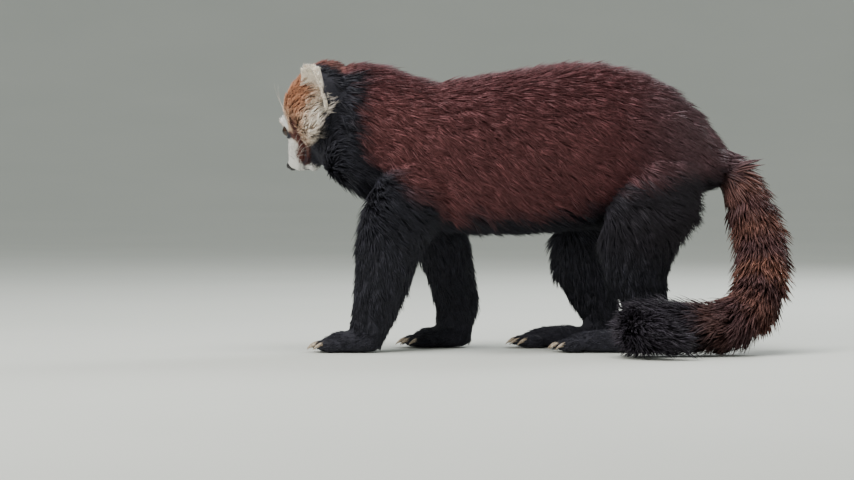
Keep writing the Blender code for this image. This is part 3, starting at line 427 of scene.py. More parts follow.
def lid_ring(side):
    centre, look = eye_axis(side)
    centre = centre + look * (EYE_RADIUS * 0.34)
    along = AXES @ Vector((0.8, -side * 0.6, 0.0))
    along = (along - look * along.dot(look)).normalized()
    over = look.cross(along)
    major, minor, opening, roll = 32, 10, 0.0070, 0.0021
    points = []
    for i in range(major):
        angle = 2 * math.pi * i / major
        out = along * (1.04 * math.cos(angle)) + over * (0.84 * math.sin(angle))
        for j in range(minor):
            turn = 2 * math.pi * j / minor
            reach = opening + roll * math.cos(turn)
            points.append(centre + out * reach + look * (roll * math.sin(turn)))
    faces = [(i * minor + j, ((i + 1) % major) * minor + j,
              ((i + 1) % major) * minor + (j + 1) % minor, i * minor + (j + 1) % minor)
             for i in range(major) for j in range(minor)]
    return mesh_object("lid", points, faces)


fine.append(ellipsoid("nose_bed", head_point(0.0795, 0.0, -0.0040), AXES, (0.0052, 0.0096, 0.0066)))
for side in (1, -1):
    fine.append(lid_ring(side))
skin = fused(fine, "skin", VOXEL, 4)
work = bmesh.new()
work.from_mesh(skin.data)
bmesh.ops.recalc_face_normals(work, faces=work.faces)
for vertex in work.verts:
    vertex.co.z = max(vertex.co.z, FLOOR_GAP)
work.to_mesh(skin.data)
work.free()
print("skin faces:", len(skin.data.polygons))

# %% [markdown]
# Markings come from one rule that gives a colour for any place on the body, and both the skin and the coat
# read it. The back, flanks and nape are deep chestnut red, the throat, chest, belly and legs are black, and
# the face has white cheeks and muzzle with a dark tear stripe below each eye. The border along the flank
# wavers, so a little smooth noise moves each place before the rule is asked.

# %% The colours and their borders
RED_EDGE = [(-0.174, 0.232), (-0.132, 0.200), (-0.099, 0.173), (-0.066, 0.154), (-0.052, 0.147),
            (-0.036, 0.157), (0.022, 0.153), (0.066, 0.157), (0.107, 0.170), (0.135, 0.182),
            (0.165, 0.190), (0.198, 0.199), (0.240, 0.200)]
COLOUR = {
    "back": (0.132, 0.044, 0.049), "shoulder": (0.180, 0.064, 0.067), "rump": (0.128, 0.066, 0.077),
    "black": (0.0235, 0.0230, 0.0325), "thigh": (0.032, 0.027, 0.035), "crown": (0.180, 0.064, 0.052),
    "forehead": (0.410, 0.190, 0.105), "edge": (0.620, 0.430, 0.300), "white": (0.900, 0.870, 0.830),
    "tear": (0.105, 0.034, 0.028), "cheek": (0.900, 0.790, 0.680), "cream": (0.930, 0.820, 0.690),
    "tail": (0.074, 0.032, 0.034), "ring": (0.235, 0.100, 0.066), "tip": (0.028, 0.023, 0.032),
}
# The cheek's upper and lower border as b against a, and the tear stripe's line, all in the head's own axes
CHEEK_TOP = [(-0.020, 0.010), (-0.006, 0.004), (0.007, 0.000), (0.013, -0.006), (0.026, -0.013),
             (0.046, -0.016)]
CHEEK_FOOT = [(-0.030, -0.002), (-0.020, -0.010), (-0.010, -0.018), (0.001, -0.026), (0.0135, -0.030),
              (0.028, -0.0256), (0.038, -0.024), (0.048, -0.020)]
TEAR_LINE = [(0.0285, 0.0455, 0.0015), (0.0338, 0.0391, -0.0045), (0.0430, 0.0306, -0.0075),
             (0.0499, 0.0247, -0.0137), (0.0580, 0.0204, -0.0163), (0.0640, 0.0160, -0.0205)]
UNDER_EYE = [(0.0440, 0.0290, 0.0060), (0.0430, 0.0306, -0.0075)]
COLOUR = {name: np.array(value) for name, value in COLOUR.items()}
print("colours named:", len(COLOUR))

# %% [markdown]
# The rule needs to know where on the animal a place is. Small measures answer that for many places at once:
# how far along the tail it is, whether it is on the head, a leg or an ear, and how far it is from a line.
# A ramp turns each measure into a soft share between none and all, so that no border is a hard step.

# %% Measures of place


def ramp(value, low, high):
    t = np.clip((value - low) / (high - low), 0, 1)
    return t * t * (3 - 2 * t)


def noise(points, scale, seed):
    """A smooth value between about -1 and 1 from a few crossed waves."""
    draw = np.random.default_rng(seed)
    total = np.zeros(len(points))
    for _ in range(7):
        way = draw.normal(size=3)
        way *= draw.uniform(0.6, 1.6) / (scale * np.linalg.norm(way))
        total += np.sin(points @ way * 2 * np.pi + draw.uniform(0, 2 * np.pi))
    return total / 3.2


def head_places(points):
    return (points - np.array(HEAD_CENTRE)) @ np.array(AXES) / HEAD_SIZE


def mixed(base, colour, share):
    return base + (colour - base) * share[:, None]


def all_over(name, places):
    return np.repeat(COLOUR[name][None], len(places), 0)


def border(at, line):
    return np.interp(at, *np.array(line).T)


def from_line(places, line):
    """How far each place is from a line of points joined by straight steps."""
    best = np.full(len(places), 1e9)
    for start, end in zip(line[:-1], line[1:]):
        start, way = np.array(start), np.array(end) - np.array(start)
        t = np.clip((places - start) @ way / (way @ way), 0, 1)
        best = np.minimum(best, np.linalg.norm(places - start - t[:, None] * way, axis=1))
    return best


tail_steps = np.linspace(0, len(TAIL_LINE) - 1, 260)
tail_points = np.array([curve_point(TAIL_LINE, at) for at in tail_steps])
tail_gone = np.concatenate([[0.0], np.cumsum(np.linalg.norm(np.diff(tail_points, axis=0), axis=1))])
tail_along = np.gradient(tail_points, axis=0)
tail_along /= np.linalg.norm(tail_along, axis=1)[:, None]
TAIL_START = 0.040


def tail_places(points):
    """How far along the tail each point is, how far from its line, and which way the tail runs there."""
    best = np.full(len(points), 1e9)
    which = np.zeros(len(points), int)
    for k in range(0, len(tail_points), 2):
        away = np.linalg.norm(points - tail_points[k], axis=1)
        nearer = away < best
        best[nearer], which[nearer] = away[nearer], k
    return tail_gone[which], best, tail_along[which]


def on_tail(points):
    gone, away, along = tail_places(points)
    past = ramp(gone, TAIL_START, TAIL_START + 0.030) * (away < 0.045)
    return past, gone, along


def past_nape(points):
    """How far each point lies on the head's side of the turned plane behind the ears."""
    return (points - np.array((-0.166, 0.0, 0.250))) @ np.array((-0.928, 0.371, 0.030))


def on_head(points):
    return ramp(past_nape(points), -0.012, 0.012) * (points[:, 2] > 0.150)


def on_leg(points):
    return ramp(-points[:, 2], -0.165, -0.105) * (1 - ramp(points[:, 0], 0.222, 0.236))


def ear_places(points):
    """Whether a place is on an ear, its shares across, its height over the inner face, and the way up."""
    local = head_places(points)
    local[:, 1] = np.abs(local[:, 1])
    base, tip = np.array(EAR_BASE), np.array(EAR_TIP)
    up = (tip - base) / np.linalg.norm(tip - base)
    facing = np.array(EAR_FACING) - up * np.dot(EAR_FACING, up)
    facing /= np.linalg.norm(facing)
    across = np.cross(up, facing)
    d = local - base
    u = d @ up / np.linalg.norm(tip - base)
    v = np.abs(d @ across) / (EAR_WIDTH / 2)
    f = d @ facing + EAR_CUP * (1 - 0.55 * np.clip(u, 0, 1)) * (1 - np.clip(v, 0, 1) ** 2)
    near = (u > 0.16) * (v < 1.25) * (np.abs(f) < 0.012) * (u < 1.2)
    return near, v, f, up


print("length of the tail's line:", round(float(tail_gone[-1]), 3))

# %% [markdown]
# Now the rule itself. It starts from the red of the back and lays the other colours over it in order: the
# black underside, legs and throat first, then the face with its cheeks, muzzle, brows and tear stripes, then
# the ears, and last the faint rings and the dark tip of the tail.

# %% The rule for markings


def markings(points):
    p = points + np.stack([noise(points, 0.03, k) for k in (1, 2, 3)], 1) * 0.0028
    x, y, z = p.T
    colour = all_over("back", p)
    colour = mixed(colour, COLOUR["shoulder"], ramp(-x, 0.03, 0.13) * ramp(0.300 - z, 0.0, 0.04))
    colour = mixed(colour, COLOUR["shoulder"], 0.6 * ramp(0.290 - z, 0.0, 0.06) * (1 - ramp(x, 0.06, 0.16)))
    colour = mixed(colour, COLOUR["rump"], ramp(x, 0.11, 0.20))
    under = ramp(border(x, RED_EDGE) - z + 0.006 * noise(p, 0.018, 9), -0.010, 0.010)
    lower = mixed(all_over("black", p), COLOUR["thigh"], ramp(x, 0.08, 0.15) * ramp(z, 0.08, 0.14))
    colour = mixed(colour, lower, under)
    # Black on the sides of the neck up to the head: partly dark fur, partly painted shade
    side = ramp(np.abs(y), 0.016, 0.028) * ramp(past_nape(p), -0.029, -0.019) * ramp(0.308 - z, 0.0, 0.008)
    colour = mixed(colour, COLOUR["black"], side)
    colour = mixed(colour, COLOUR["black"], ramp(-x, 0.10, 0.13) * ramp(0.205 - z, -0.008, 0.012))
    low = border(x, [(station[0], station[2]) for station in TRUNK])
    colour = mixed(colour, COLOUR["black"], ramp(-x, 0.08, 0.12) * ramp(low + 0.034 - z, -0.005, 0.007))
    colour = face_markings(p, colour)
    return tail_markings(points, colour)


def face_markings(p, colour):
    a, lateral, b = head_places(p).T
    side = np.abs(lateral)
    head = ramp(past_nape(p), -0.004, 0.008) * (p[:, 2] > 0.16)
    top, foot = border(a, CHEEK_TOP), border(a, CHEEK_FOOT)
    face = all_over("crown", p)
    face = mixed(face, COLOUR["forehead"], ramp(a, -0.032, -0.010))
    face = mixed(face, COLOUR["edge"], 0.85 * ramp(a, 0.006, 0.032) * ramp(side, 0.012, 0.026))
    cheek = ramp(side, 0.016, 0.028) * ramp(a, -0.036, -0.026) * ramp(0.053 - a, 0.0, 0.006)
    pale = mixed(all_over("cheek", p), COLOUR["edge"], 0.7 * ramp(b - top, -0.0130, -0.0020))
    face = mixed(face, pale, cheek * ramp(top - b, -0.0055, 0.0045))
    # Black on the head behind the ears: partly dark fur, partly painted shade
    face = mixed(face, COLOUR["black"], ramp(-a, 0.016, 0.024) * ramp(side, 0.014, 0.024))
    face = mixed(face, COLOUR["black"], ramp(foot - b, -0.0030, 0.0030))
    muzzle = ramp(a, 0.045, 0.052) * ramp(b, -0.0165, -0.0100) * ramp(side, 0.002, 0.012)
    face = mixed(face, COLOUR["white"], muzzle)
    bridge = ramp(a, 0.040, 0.050) * ramp(0.012 - side, 0.0, 0.008) * ramp(0.070 - a, 0.0, 0.010) * (b > 0)
    face = mixed(face, COLOUR["forehead"] * 1.1, 0.8 * bridge)
    face = mixed(face, COLOUR["white"], ramp(a, 0.062, 0.068) * ramp(b, -0.040, -0.034))
    brow = np.exp(-((a - 0.036) / 0.0085) ** 2 - ((side - 0.029) / 0.0095) ** 2) * ramp(b, 0.008, 0.014)
    face = mixed(face, COLOUR["white"], np.clip(brow * 1.6, 0, 1))
    spots = np.stack([a, side, b], 1)
    tear = np.minimum(from_line(spots, TEAR_LINE), from_line(spots, UNDER_EYE) + 0.0016)
    face = mixed(face, COLOUR["tear"], ramp(0.0084 - tear, 0.0, 0.0032))
    eye = np.sqrt((a - EYE_PLACE[0]) ** 2 + (side - EYE_PLACE[1]) ** 2 + (b - EYE_PLACE[2]) ** 2)
    face = mixed(face, COLOUR["black"], ramp(0.0112 - eye, 0.0, 0.0020))
    fold = b + 0.0215 - 0.010 * ramp(0.062 - a, 0, 0.02)
    lips = ramp(0.0028 - np.abs(fold), 0, 0.0018) * ramp(a, 0.048, 0.056)
    face = mixed(face, COLOUR["black"], 0.85 * lips)
    colour = mixed(colour, face, head)
    near, v, f, _ = ear_places(p)
    inside = np.maximum(ramp(f, -0.0012, 0.0012), ramp(v, 0.84, 0.95))
    ear = mixed(all_over("black", p), COLOUR["cream"], inside)
    return np.where((near > 0)[:, None], ear, colour)


def tail_markings(points, colour):
    past, gone, _ = on_tail(points)
    wave = gone + 0.004 * noise(points, 0.03, 21)
    tail = mixed(all_over("tail", points), COLOUR["tip"], ramp(wave, 0.24, 0.31))
    for centre, strength in ((0.075, 0.45), (0.125, 0.60), (0.182, 1.0), (0.232, 0.50), (0.285, 0.30)):
        tail = mixed(tail, COLOUR["ring"], strength * np.exp(-((wave - centre) / 0.011) ** 2))
    return mixed(colour, tail, past)


MID_BACK = np.array([[0.05, 0.0, 0.32]])
print("markings at the back:", markings(MID_BACK).round(3))

# %% [markdown]
# The mouth is a thin fold from one corner to the other under the whisker pads. It is pressed into the skin
# by moving the points near its line inwards, which keeps the skin whole. Then the skin gets its markings
# and an unwrap of its own shape, which later tells each tuft where its colour lives.

# %% Press the mouth line and unwrap the skin
MOUTH_LINE = [(0.0800, 0.0000, -0.0205), (0.0770, 0.0100, -0.0215), (0.0690, 0.0185, -0.0235),
              (0.0590, 0.0235, -0.0225), (0.0500, 0.0275, -0.0180), (0.0440, 0.0320, -0.0125)]


def read(items, field, columns, kind=float):
    """One field of every vertex, triangle or corner of a mesh, as rows of an array."""
    values = np.empty(len(items) * columns, kind)
    items.foreach_get(field, values)
    return values.reshape(-1, columns)


points, normals = read(skin.data.vertices, "co", 3), read(skin.data.vertices, "normal", 3)
tree = BVHTree.FromObject(skin, bpy.context.evaluated_depsgraph_get())
half = [curve_point(MOUTH_LINE, at) for at in np.linspace(0, 5, 26)]
path = np.array([tuple(tree.find_nearest(head_point(a, side * lateral, b))[0])
                 for a, lateral, b in half for side in (1, -1)])
near = np.full(len(points), 1.0)
for place in path:
    near = np.minimum(near, np.linalg.norm(points - place, axis=1))
points -= normals * (0.0016 * np.exp(-(near / 0.0016) ** 2))[:, None]
points += normals * (0.0007 * np.exp(-((near - 0.0036) / 0.0014) ** 2))[:, None]
skin.data.vertices.foreach_set("co", points.ravel())
skin.data.update()


def paint(mesh, colours):
    layer = mesh.attributes.new("coat", "FLOAT_COLOR", "POINT")
    rows = np.column_stack([colours, np.ones(len(colours))])
    layer.data.foreach_set("color", rows.astype(np.float32).ravel())


paint(skin.data, markings(points))
bpy.context.view_layer.objects.active = skin
skin.select_set(True)
bpy.ops.object.mode_set(mode="EDIT")
bpy.ops.mesh.select_all(action="SELECT")
bpy.ops.uv.smart_project(angle_limit=math.radians(72), island_margin=0.001)
bpy.ops.object.mode_set(mode="OBJECT")
print("skin islands unwrapped:", skin.data.uv_layers.active.name)

# %% [markdown]
# The coat is the long work. A tuft stands for a pinch of hairs that cling together: a thin blade with a
# ridge, bent along the lie and closed at both ends. Tufts could be made by hand for a few, but so many need
# arrays, so the roots are scattered over the skin and every tuft is computed at once. The first step says,
# for any place, which way the coat lies, how long and wide it is, how much it lifts and how close it grows.

# %% Lie, length and closeness of the coat
BARE_ROUND_EYE = 0.0098


def lie_of_coat(p, n):
    _, y, z = p.T
    side = np.clip(np.abs(y) / 0.075, 0, 1)
    way = np.stack([np.ones(len(p)), np.zeros(len(p)), -0.16 - 0.42 * side], 1)
    leg = on_leg(p)
    down = np.stack([np.full(len(p), 0.22), np.sign(y) * 0.10, np.full(len(p), -1.0)], 1)
    way = way + (down - way) * leg[:, None]
    paw = ramp(0.034 - z, 0.0, 0.016) * leg
    toes = np.stack([np.full(len(p), -1.0), np.zeros(len(p)), np.full(len(p), -0.25)], 1)
    way = way + (toes - way) * paw[:, None]
    a, lateral, _ = head_places(p).T
    head = on_head(p)
    back, out, crown = (np.array(AXES)[:, k] for k in range(3))
    cheek = ramp(np.abs(lateral), 0.020, 0.044)
    face = -back[None] * (1.0 - 0.25 * cheek)[:, None]
    face = face + out[None] * (np.sign(lateral) * (0.15 + 0.50 * cheek))[:, None]
    face = face - crown[None] * (0.15 + 0.25 * cheek)[:, None]
    nape = ramp(-a, -0.006, 0.026)
    face = face + (np.array([1.0, 0.0, 0.1]) - face) * (0.75 * nape)[:, None]
    way = way + (face - way) * head[:, None]
    for hand in (1, -1):
        gap = p - np.array(eye_axis(hand)[0])
        away = np.linalg.norm(gap, axis=1)
        way += gap / away[:, None] * (2.4 * ramp(0.019 - away, 0.0, 0.007))[:, None]
    past, _, along = on_tail(p)
    way = way + (along - way) * past[:, None]
    near, _, _, up = ear_places(p)
    turned = np.repeat(up[None], len(p), 0)
    turned[:, 1] *= np.sign(lateral)
    turned = turned @ np.array(AXES).T
    way = np.where((near > 0)[:, None], turned, way)
    way = way - n * (way * n).sum(1)[:, None]
    return way / np.maximum(np.linalg.norm(way, axis=1), 1e-6)[:, None]


def coat_sizes(p, n):
    """Length, width, lift in degrees and closeness (tufts to a square centimetre) at each place."""
    z = p[:, 2]
    length, width = np.full(len(p), 0.029), np.full(len(p), 0.0017)
    lift, close = np.full(len(p), 20.0), np.full(len(p), 30.0)

    def blend(share, long, wide, up, many):
        for array, value in ((length, long), (width, wide), (lift, up), (close, many)):
            array += (value - array) * share

    blend(ramp(0.160 - z, 0, 0.03), 0.027, 0.0017, 24.0, 28.0)
    leg = on_leg(p)
    blend(leg, 0.017, 0.0017, 16.0, 21.0)
    blend(ramp(0.060 - z, 0.0, 0.03) * leg, 0.011, 0.0014, 14.0, 27.0)
    blend(ramp(0.032 - z, 0.0, 0.012) * leg, 0.0080, 0.0010, 22.0, 62.0)
    local = head_places(p)
    a, lateral, b = local.T
    side = np.abs(lateral)
    head = on_head(p) * ramp(b, -0.052, -0.040)
    blend(head, 0.014, 0.0012, 15.0, 50.0)
    ruff = ramp(side, 0.030, 0.046) * ramp(0.036 - a, 0, 0.014) * ramp(0.022 - b, 0.0, 0.014) * head
    blend(ruff, 0.024, 0.0016, 30.0, 40.0)
    blend(head * ramp(a, 0.008, 0.030) * ramp(b, 0.004, 0.016), 0.0075, 0.0011, 18.0, 60.0)
    blend(head * ramp(a, 0.034, 0.050), 0.0056, 0.00075, 17.0, 150.0)
    blend(head * ramp(a, 0.064, 0.078), 0.0034, 0.00060, 16.0, 210.0)
    near, _, f, _ = ear_places(p)
    blend((near > 0) * 1.0, 0.0060, 0.0010, 13.0, 64.0)
    blend((near > 0) * (f > 0.0008), 0.0075, 0.0009, 15.0, 74.0)
    past, gone, _ = on_tail(p)
    blend(past, 0.036, 0.0023, 31.0, 26.0)
    blend(past * ramp(gone, 0.34, 0.40), 0.031, 0.0021, 30.0, 34.0)
    bare = (n[:, 2] < -0.55) & (z < 0.014) & (past < 0.1)
    for hand in (1, -1):
        bare |= np.linalg.norm(p - np.array(eye_axis(hand)[0]), axis=1) < BARE_ROUND_EYE
    d = (local - np.array(NOSE_PLACE)) / (np.array(NOSE_RADII) + 0.0008)
    bare |= (d ** 2).sum(1) < 1.0
    close[bare] = 0.0
    return length, width, lift, close


back_coat = coat_sizes(MID_BACK, np.array([[0.0, 0.0, 1.0]]))
print("length, width, lift and closeness on the back:", [round(float(value[0]), 4) for value in back_coat])

# %% [markdown]
# Roots are scattered by chance, but more of them fall where the coat grows closer. Each root keeps the
# skin's own way out and its place on the unwrap. Roots that lie near one another share a clump, whose tips
# lean together and whose shade differs a little from the next clump's, as damp or wind-blown fur does.

# %% Scatter the roots and gather them into clumps
draw = np.random.default_rng(11)
TUFTS = 126000
TUFTS_IN_A_CLUMP, TO_SQUARE_CM = 11, 1e4
mesh = skin.data
mesh.calc_loop_triangles()
corners = read(mesh.loop_triangles, "vertices", 3, int)
loops = read(mesh.loop_triangles, "loops", 3, int)
unwrap = read(mesh.uv_layers.active.data, "uv", 2)
points, normals = read(mesh.vertices, "co", 3), read(mesh.vertices, "normal", 3)
tri = points[corners]
cross = np.cross(tri[:, 1] - tri[:, 0], tri[:, 2] - tri[:, 0])
area = np.linalg.norm(cross, axis=1) / 2
middle = tri.mean(1)
close = coat_sizes(middle, cross / np.maximum(2 * area, 1e-12)[:, None])[3]
weight = area * TO_SQUARE_CM * close
print("tufts the coat asks for:", int(weight.sum()), "given:", TUFTS)
chosen = np.sort(draw.choice(len(weight), TUFTS, p=weight / weight.sum()))
r1, r2 = np.sqrt(draw.random(TUFTS)), draw.random(TUFTS)
share = np.stack([1 - r1, r1 * (1 - r2), r1 * r2], 1)
root = (points[corners[chosen]] * share[:, :, None]).sum(1)
out = (normals[corners[chosen]] * share[:, :, None]).sum(1)
out /= np.linalg.norm(out, axis=1)[:, None]
place = (unwrap[loops[chosen]] * share[:, :, None]).sum(1)

heads = draw.choice(TUFTS, TUFTS // TUFTS_IN_A_CLUMP, replace=False)
finder = KDTree(len(heads))
for k, h in enumerate(heads):
    finder.insert(root[h], k)
finder.balance()
clump = np.array([finder.find(p)[1] for p in root])
print("clumps:", len(heads))

# %% [markdown]
# Now each tuft takes its bend. It leaves the skin at its lift, lies over along the coat, sags a little
# under its own weight, and its tip leans to the middle of its clump. Each tuft is painted darker near the
# skin, as painted shade deep in the coat, and brighter towards the tip, as painted light on the tips, less
# so on pale colours, and one tuft in ten is a lighter guard hair.

# %% Bend every tuft
STATIONS = (0.0, 0.40, 0.74, 1.0)
BREADTH = (0.75, 1.0, 0.66)
# Painted shade at a tuft's root and painted light towards its tip, as a share of its colour at each station
ROOT_SHADE_TIP_LIGHT = (0.50, 0.88, 1.10, 1.26)
ROOT_SINK, SAG, LEAN, DROOP, LIGHT_SHARE = 0.0012, 0.22, 0.50, 0.05, 0.10
length, width, lift, _ = coat_sizes(root, out)
way = lie_of_coat(root, out)
across = np.cross(way, out)
clump_turn = draw.normal(0, 0.17, len(heads))[clump] + 0.20 * noise(root, 0.035, 31)
turn = clump_turn + draw.normal(0, 0.08, TUFTS)
way = way * np.cos(turn)[:, None] + across * np.sin(turn)[:, None]
across = np.cross(way, out)
length = length * draw.uniform(0.72, 1.15, TUFTS) * draw.uniform(0.86, 1.12, len(heads))[clump]
width = width * draw.uniform(0.75, 1.25, TUFTS)
lift = np.radians(lift * draw.uniform(0.65, 1.35, TUFTS) * draw.uniform(0.85, 1.2, len(heads))[clump])
lean = (root[heads][clump] - root)
lean -= out * (lean * out).sum(1)[:, None]
shade = draw.uniform(0.84, 1.16, len(heads))[clump] * draw.uniform(0.85, 1.15, TUFTS)
tint = markings(root)
tips = markings(root + way * (length * 0.35)[:, None])
tint = tint * 0.5 + tips * 0.5
light = draw.random(TUFTS) < LIGHT_SHARE
rings, shades = [], []
for k, s in enumerate(STATIONS):
    rise = np.sin(lift) * s - SAG * np.sin(lift) * s * s
    centre = root + way * (length * np.cos(lift) * s)[:, None] + out * (length * rise - ROOT_SINK)[:, None]
    centre += lean * (LEAN * s ** 1.5)
    centre[:, 2] -= length * DROOP * s * s
    ring = [centre]
    if k < len(BREADTH):
        breadth = (width * BREADTH[k])[:, None]
        half = across * breadth * 0.5
        ring = [centre + half, centre - half, centre + out * breadth * 0.38]
    rings += ring
    # Painted shade at the root and painted light at the tip, weaker on pale colours
    root_shade_tip_light = 1 + (ROOT_SHADE_TIP_LIGHT[k] - 1) * (1 - 0.75 * tint.max(1))
    lit = shade * root_shade_tip_light * np.where(light, 1.0 + 0.45 * s, 1.0)
    shades += [tint * lit[:, None]] * len(ring)
tuft_points = np.stack(rings, 1)
tuft_points[:, :, 2] = np.maximum(tuft_points[:, :, 2], FLOOR_GAP)
tuft_colours = np.clip(np.stack(shades, 1), 0, 1)
print("tufts bent:", len(tuft_points), "of mean length", round(float(length.mean()), 4))

# %% [markdown]
# A tuft in the tail's long fur has two steps between root and tip, and everywhere else one is enough. The
# corners of all tufts go into a mesh at once, with their colours and a small patch of the unwrap at each
# root's place. The coat is kept in several pieces, so that none of them grows too heavy.

# %% Make the pieces of the coat
PATCH_HALF, TUFTS_IN_A_PIECE = 0.0015, 12000
SIDES = [(0, 1, 4, 3), (1, 2, 5, 4), (2, 0, 3, 5), (3, 4, 7, 6), (4, 5, 8, 7), (5, 3, 6, 8)]
LONG = (list(range(10)), SIDES, [(6, 7, 9), (7, 8, 9), (8, 6, 9), (0, 2, 1)])
SHORT = ([0, 1, 2, 3, 4, 5, 9], SIDES[:3], [(3, 4, 6), (4, 5, 6), (5, 3, 6), (0, 2, 1)])
patch = [(-1, -1), (0, -1), (1, -1), (-1, 0), (0, 0), (1, 0), (-1, 0.6), (0, 0.6), (1, 0.6), (0, 1)]
patch = np.array(patch) * PATCH_HALF


def coat_piece(name, members, form):
    kept, side_faces, end_faces = form
    count = len(members)
    base = (np.arange(count) * len(kept))[:, None]
    quads = (np.array(side_faces).ravel()[None] + base).reshape(count, -1)
    ends = (np.array(end_faces).ravel()[None] + base).reshape(count, -1)
    index = np.concatenate([quads, ends], 1).ravel()
    sizes = np.tile([4] * len(side_faces) + [3] * len(end_faces), count)
    mesh = bpy.data.meshes.new(name)
    mesh.vertices.add(count * len(kept))
    spread = tuft_points[members][:, kept]
    mesh.vertices.foreach_set("co", spread.reshape(-1).astype(np.float32))
    mesh.loops.add(len(index))
    mesh.loops.foreach_set("vertex_index", index.astype(np.int32))
    mesh.polygons.add(len(sizes))
    mesh.polygons.foreach_set("loop_start", np.concatenate([[0], np.cumsum(sizes)[:-1]]).astype(np.int32))
    mesh.polygons.foreach_set("loop_total", sizes.astype(np.int32))
    mesh.update(calc_edges=True)
    mesh.validate()
    paint(mesh, tuft_colours[members][:, kept].reshape(-1, 3))
    layer = mesh.uv_layers.new(name="OFBake")
    spots = (place[members][:, None] + patch[kept][None]).reshape(-1, 2)
    layer.data.foreach_set("uv", spots[index].astype(np.float32).ravel())
    mesh.shade_smooth()
    return shown(name, mesh)


regions = np.where(on_tail(root)[0] > 0.5, 2, np.where(on_leg(root) > 0.5, 3, 1))
regions = np.where(on_head(root) > 0.5, 0, regions)
regions = np.where(ear_places(root)[0] > 0, 4, regions)
coats = []
for number, region in enumerate(("head", "trunk", "tail", "legs", "ears")):
    members = np.nonzero(regions == number)[0]
    form = LONG if region == "tail" else SHORT
    parts = max(1, math.ceil(len(members) / TUFTS_IN_A_PIECE))
    for k, share_of in enumerate(np.array_split(members, parts)):
        coats.append(coat_piece(f"coat_{region}_{k + 1}", share_of, form))
print("coat pieces:", [(coat.name, len(coat.data.polygons)) for coat in coats])
print("coat triangles:", sum(len(face.vertices) - 2 for coat in coats for face in coat.data.polygons))

# %% [markdown]
# Fur needs a finish that scatters light softly along its strands. The colour comes from the painted layer,
# and a fine noise read from each piece's own place varies it, so that no area is one flat colour. The skin
# carries the same colours with a streaky bump, which stands for the short hairs between the tufts, and its
# noise runs darker, as painted shade under the coat.

# %% Finishes for the coat and the skin


def new_material(name, rough, specular):
    made = bpy.data.materials.new(name)
    made.use_nodes = True
    shader = made.node_tree.nodes["Principled BSDF"]
    shader.inputs["Roughness"].default_value = rough
    shader.inputs["Specular IOR Level"].default_value = specular
    return made, made.node_tree.nodes, made.node_tree.links, shader


def textured(nodes, links, kind, scale, detail=None):
    """A texture node that reads the piece's own coordinates."""
    coordinates = nodes.new("ShaderNodeTexCoord")
    texture = nodes.new(kind)
    texture.inputs["Scale"].default_value = scale
    if detail:
        texture.inputs["Detail"].default_value = detail
    links.new(coordinates.outputs["Object"], texture.inputs["Vector"])
    return texture


def two_tones(nodes, links, shader, value, dark, pale, low=0.0, high=1.0):
    """Colours a finish from dark to pale as a texture's value runs from low to high."""
    tone = nodes.new("ShaderNodeValToRGB")
    first, last = tone.color_ramp.elements
    first.position, last.position = low, high
    first.color, last.color = (*dark, 1), (*pale, 1)
    links.new(value, tone.inputs["Fac"])
    links.new(tone.outputs["Color"], shader.inputs["Base Color"])


def roughening(nodes, links, shader, height, strength, distance, invert=False):
    """A bump that follows a texture's value."""
    grain = nodes.new("ShaderNodeBump")
    grain.inputs["Strength"].default_value, grain.inputs["Distance"].default_value = strength, distance
    grain.invert = invert
    links.new(height, grain.inputs["Height"])
    links.new(grain.outputs["Normal"], shader.inputs["Normal"])


def fur_material(name, rough, low, high, scale, bump):
    """A finish that multiplies the painted colour by a soft noise, with a fine bump."""
    made, nodes, links, shader = new_material(name, rough, 0.28)
    layer = nodes.new("ShaderNodeAttribute")
    layer.attribute_name = "coat"
    grain = textured(nodes, links, "ShaderNodeTexNoise", scale, 4.0)
    level = nodes.new("ShaderNodeMapRange")
    level.inputs["From Min"].default_value, level.inputs["From Max"].default_value = 0.3, 0.7
    level.inputs["To Min"].default_value, level.inputs["To Max"].default_value = low, high
    links.new(grain.outputs["Fac"], level.inputs["Value"])
    mix = nodes.new("ShaderNodeVectorMath")
    mix.operation = "SCALE"
    links.new(layer.outputs["Color"], mix.inputs[0])
    links.new(level.outputs["Result"], mix.inputs["Scale"])
    links.new(mix.outputs["Vector"], shader.inputs["Base Color"])
    if bump:
        fine = textured(nodes, links, "ShaderNodeTexNoise", scale * 5)
        roughening(nodes, links, shader, fine.outputs["Fac"], bump, 0.001)
    return made


coat_finish = fur_material("coat_finish", 0.58, 0.72, 1.30, 260.0, 0.0)
# The skin's noise runs darker than the coat's, as painted shade under the coat
skin_finish = fur_material("skin_finish", 0.75, 0.74, 1.02, 900.0, 0.6)
skin.data.materials.append(skin_finish)
for coat in coats:
    coat.data.materials.append(coat_finish)
print("finishes made:", coat_finish.name, skin_finish.name)

# %% [markdown]
# The eyes are wet, nearly black balls with a dark brown iris. A plain sphere would read as a bead, so the
# clear front bulges a little and the iris and pupil are painted by their angle from the way the eye looks.

# %% Make the eyes
PUPIL, IRIS, EYE_RIM = (0.0015, 0.0012, 0.0010), (0.026, 0.0105, 0.0045), (0.006, 0.004, 0.004)
PUPIL_ANGLE, IRIS_ANGLE = 21, 52


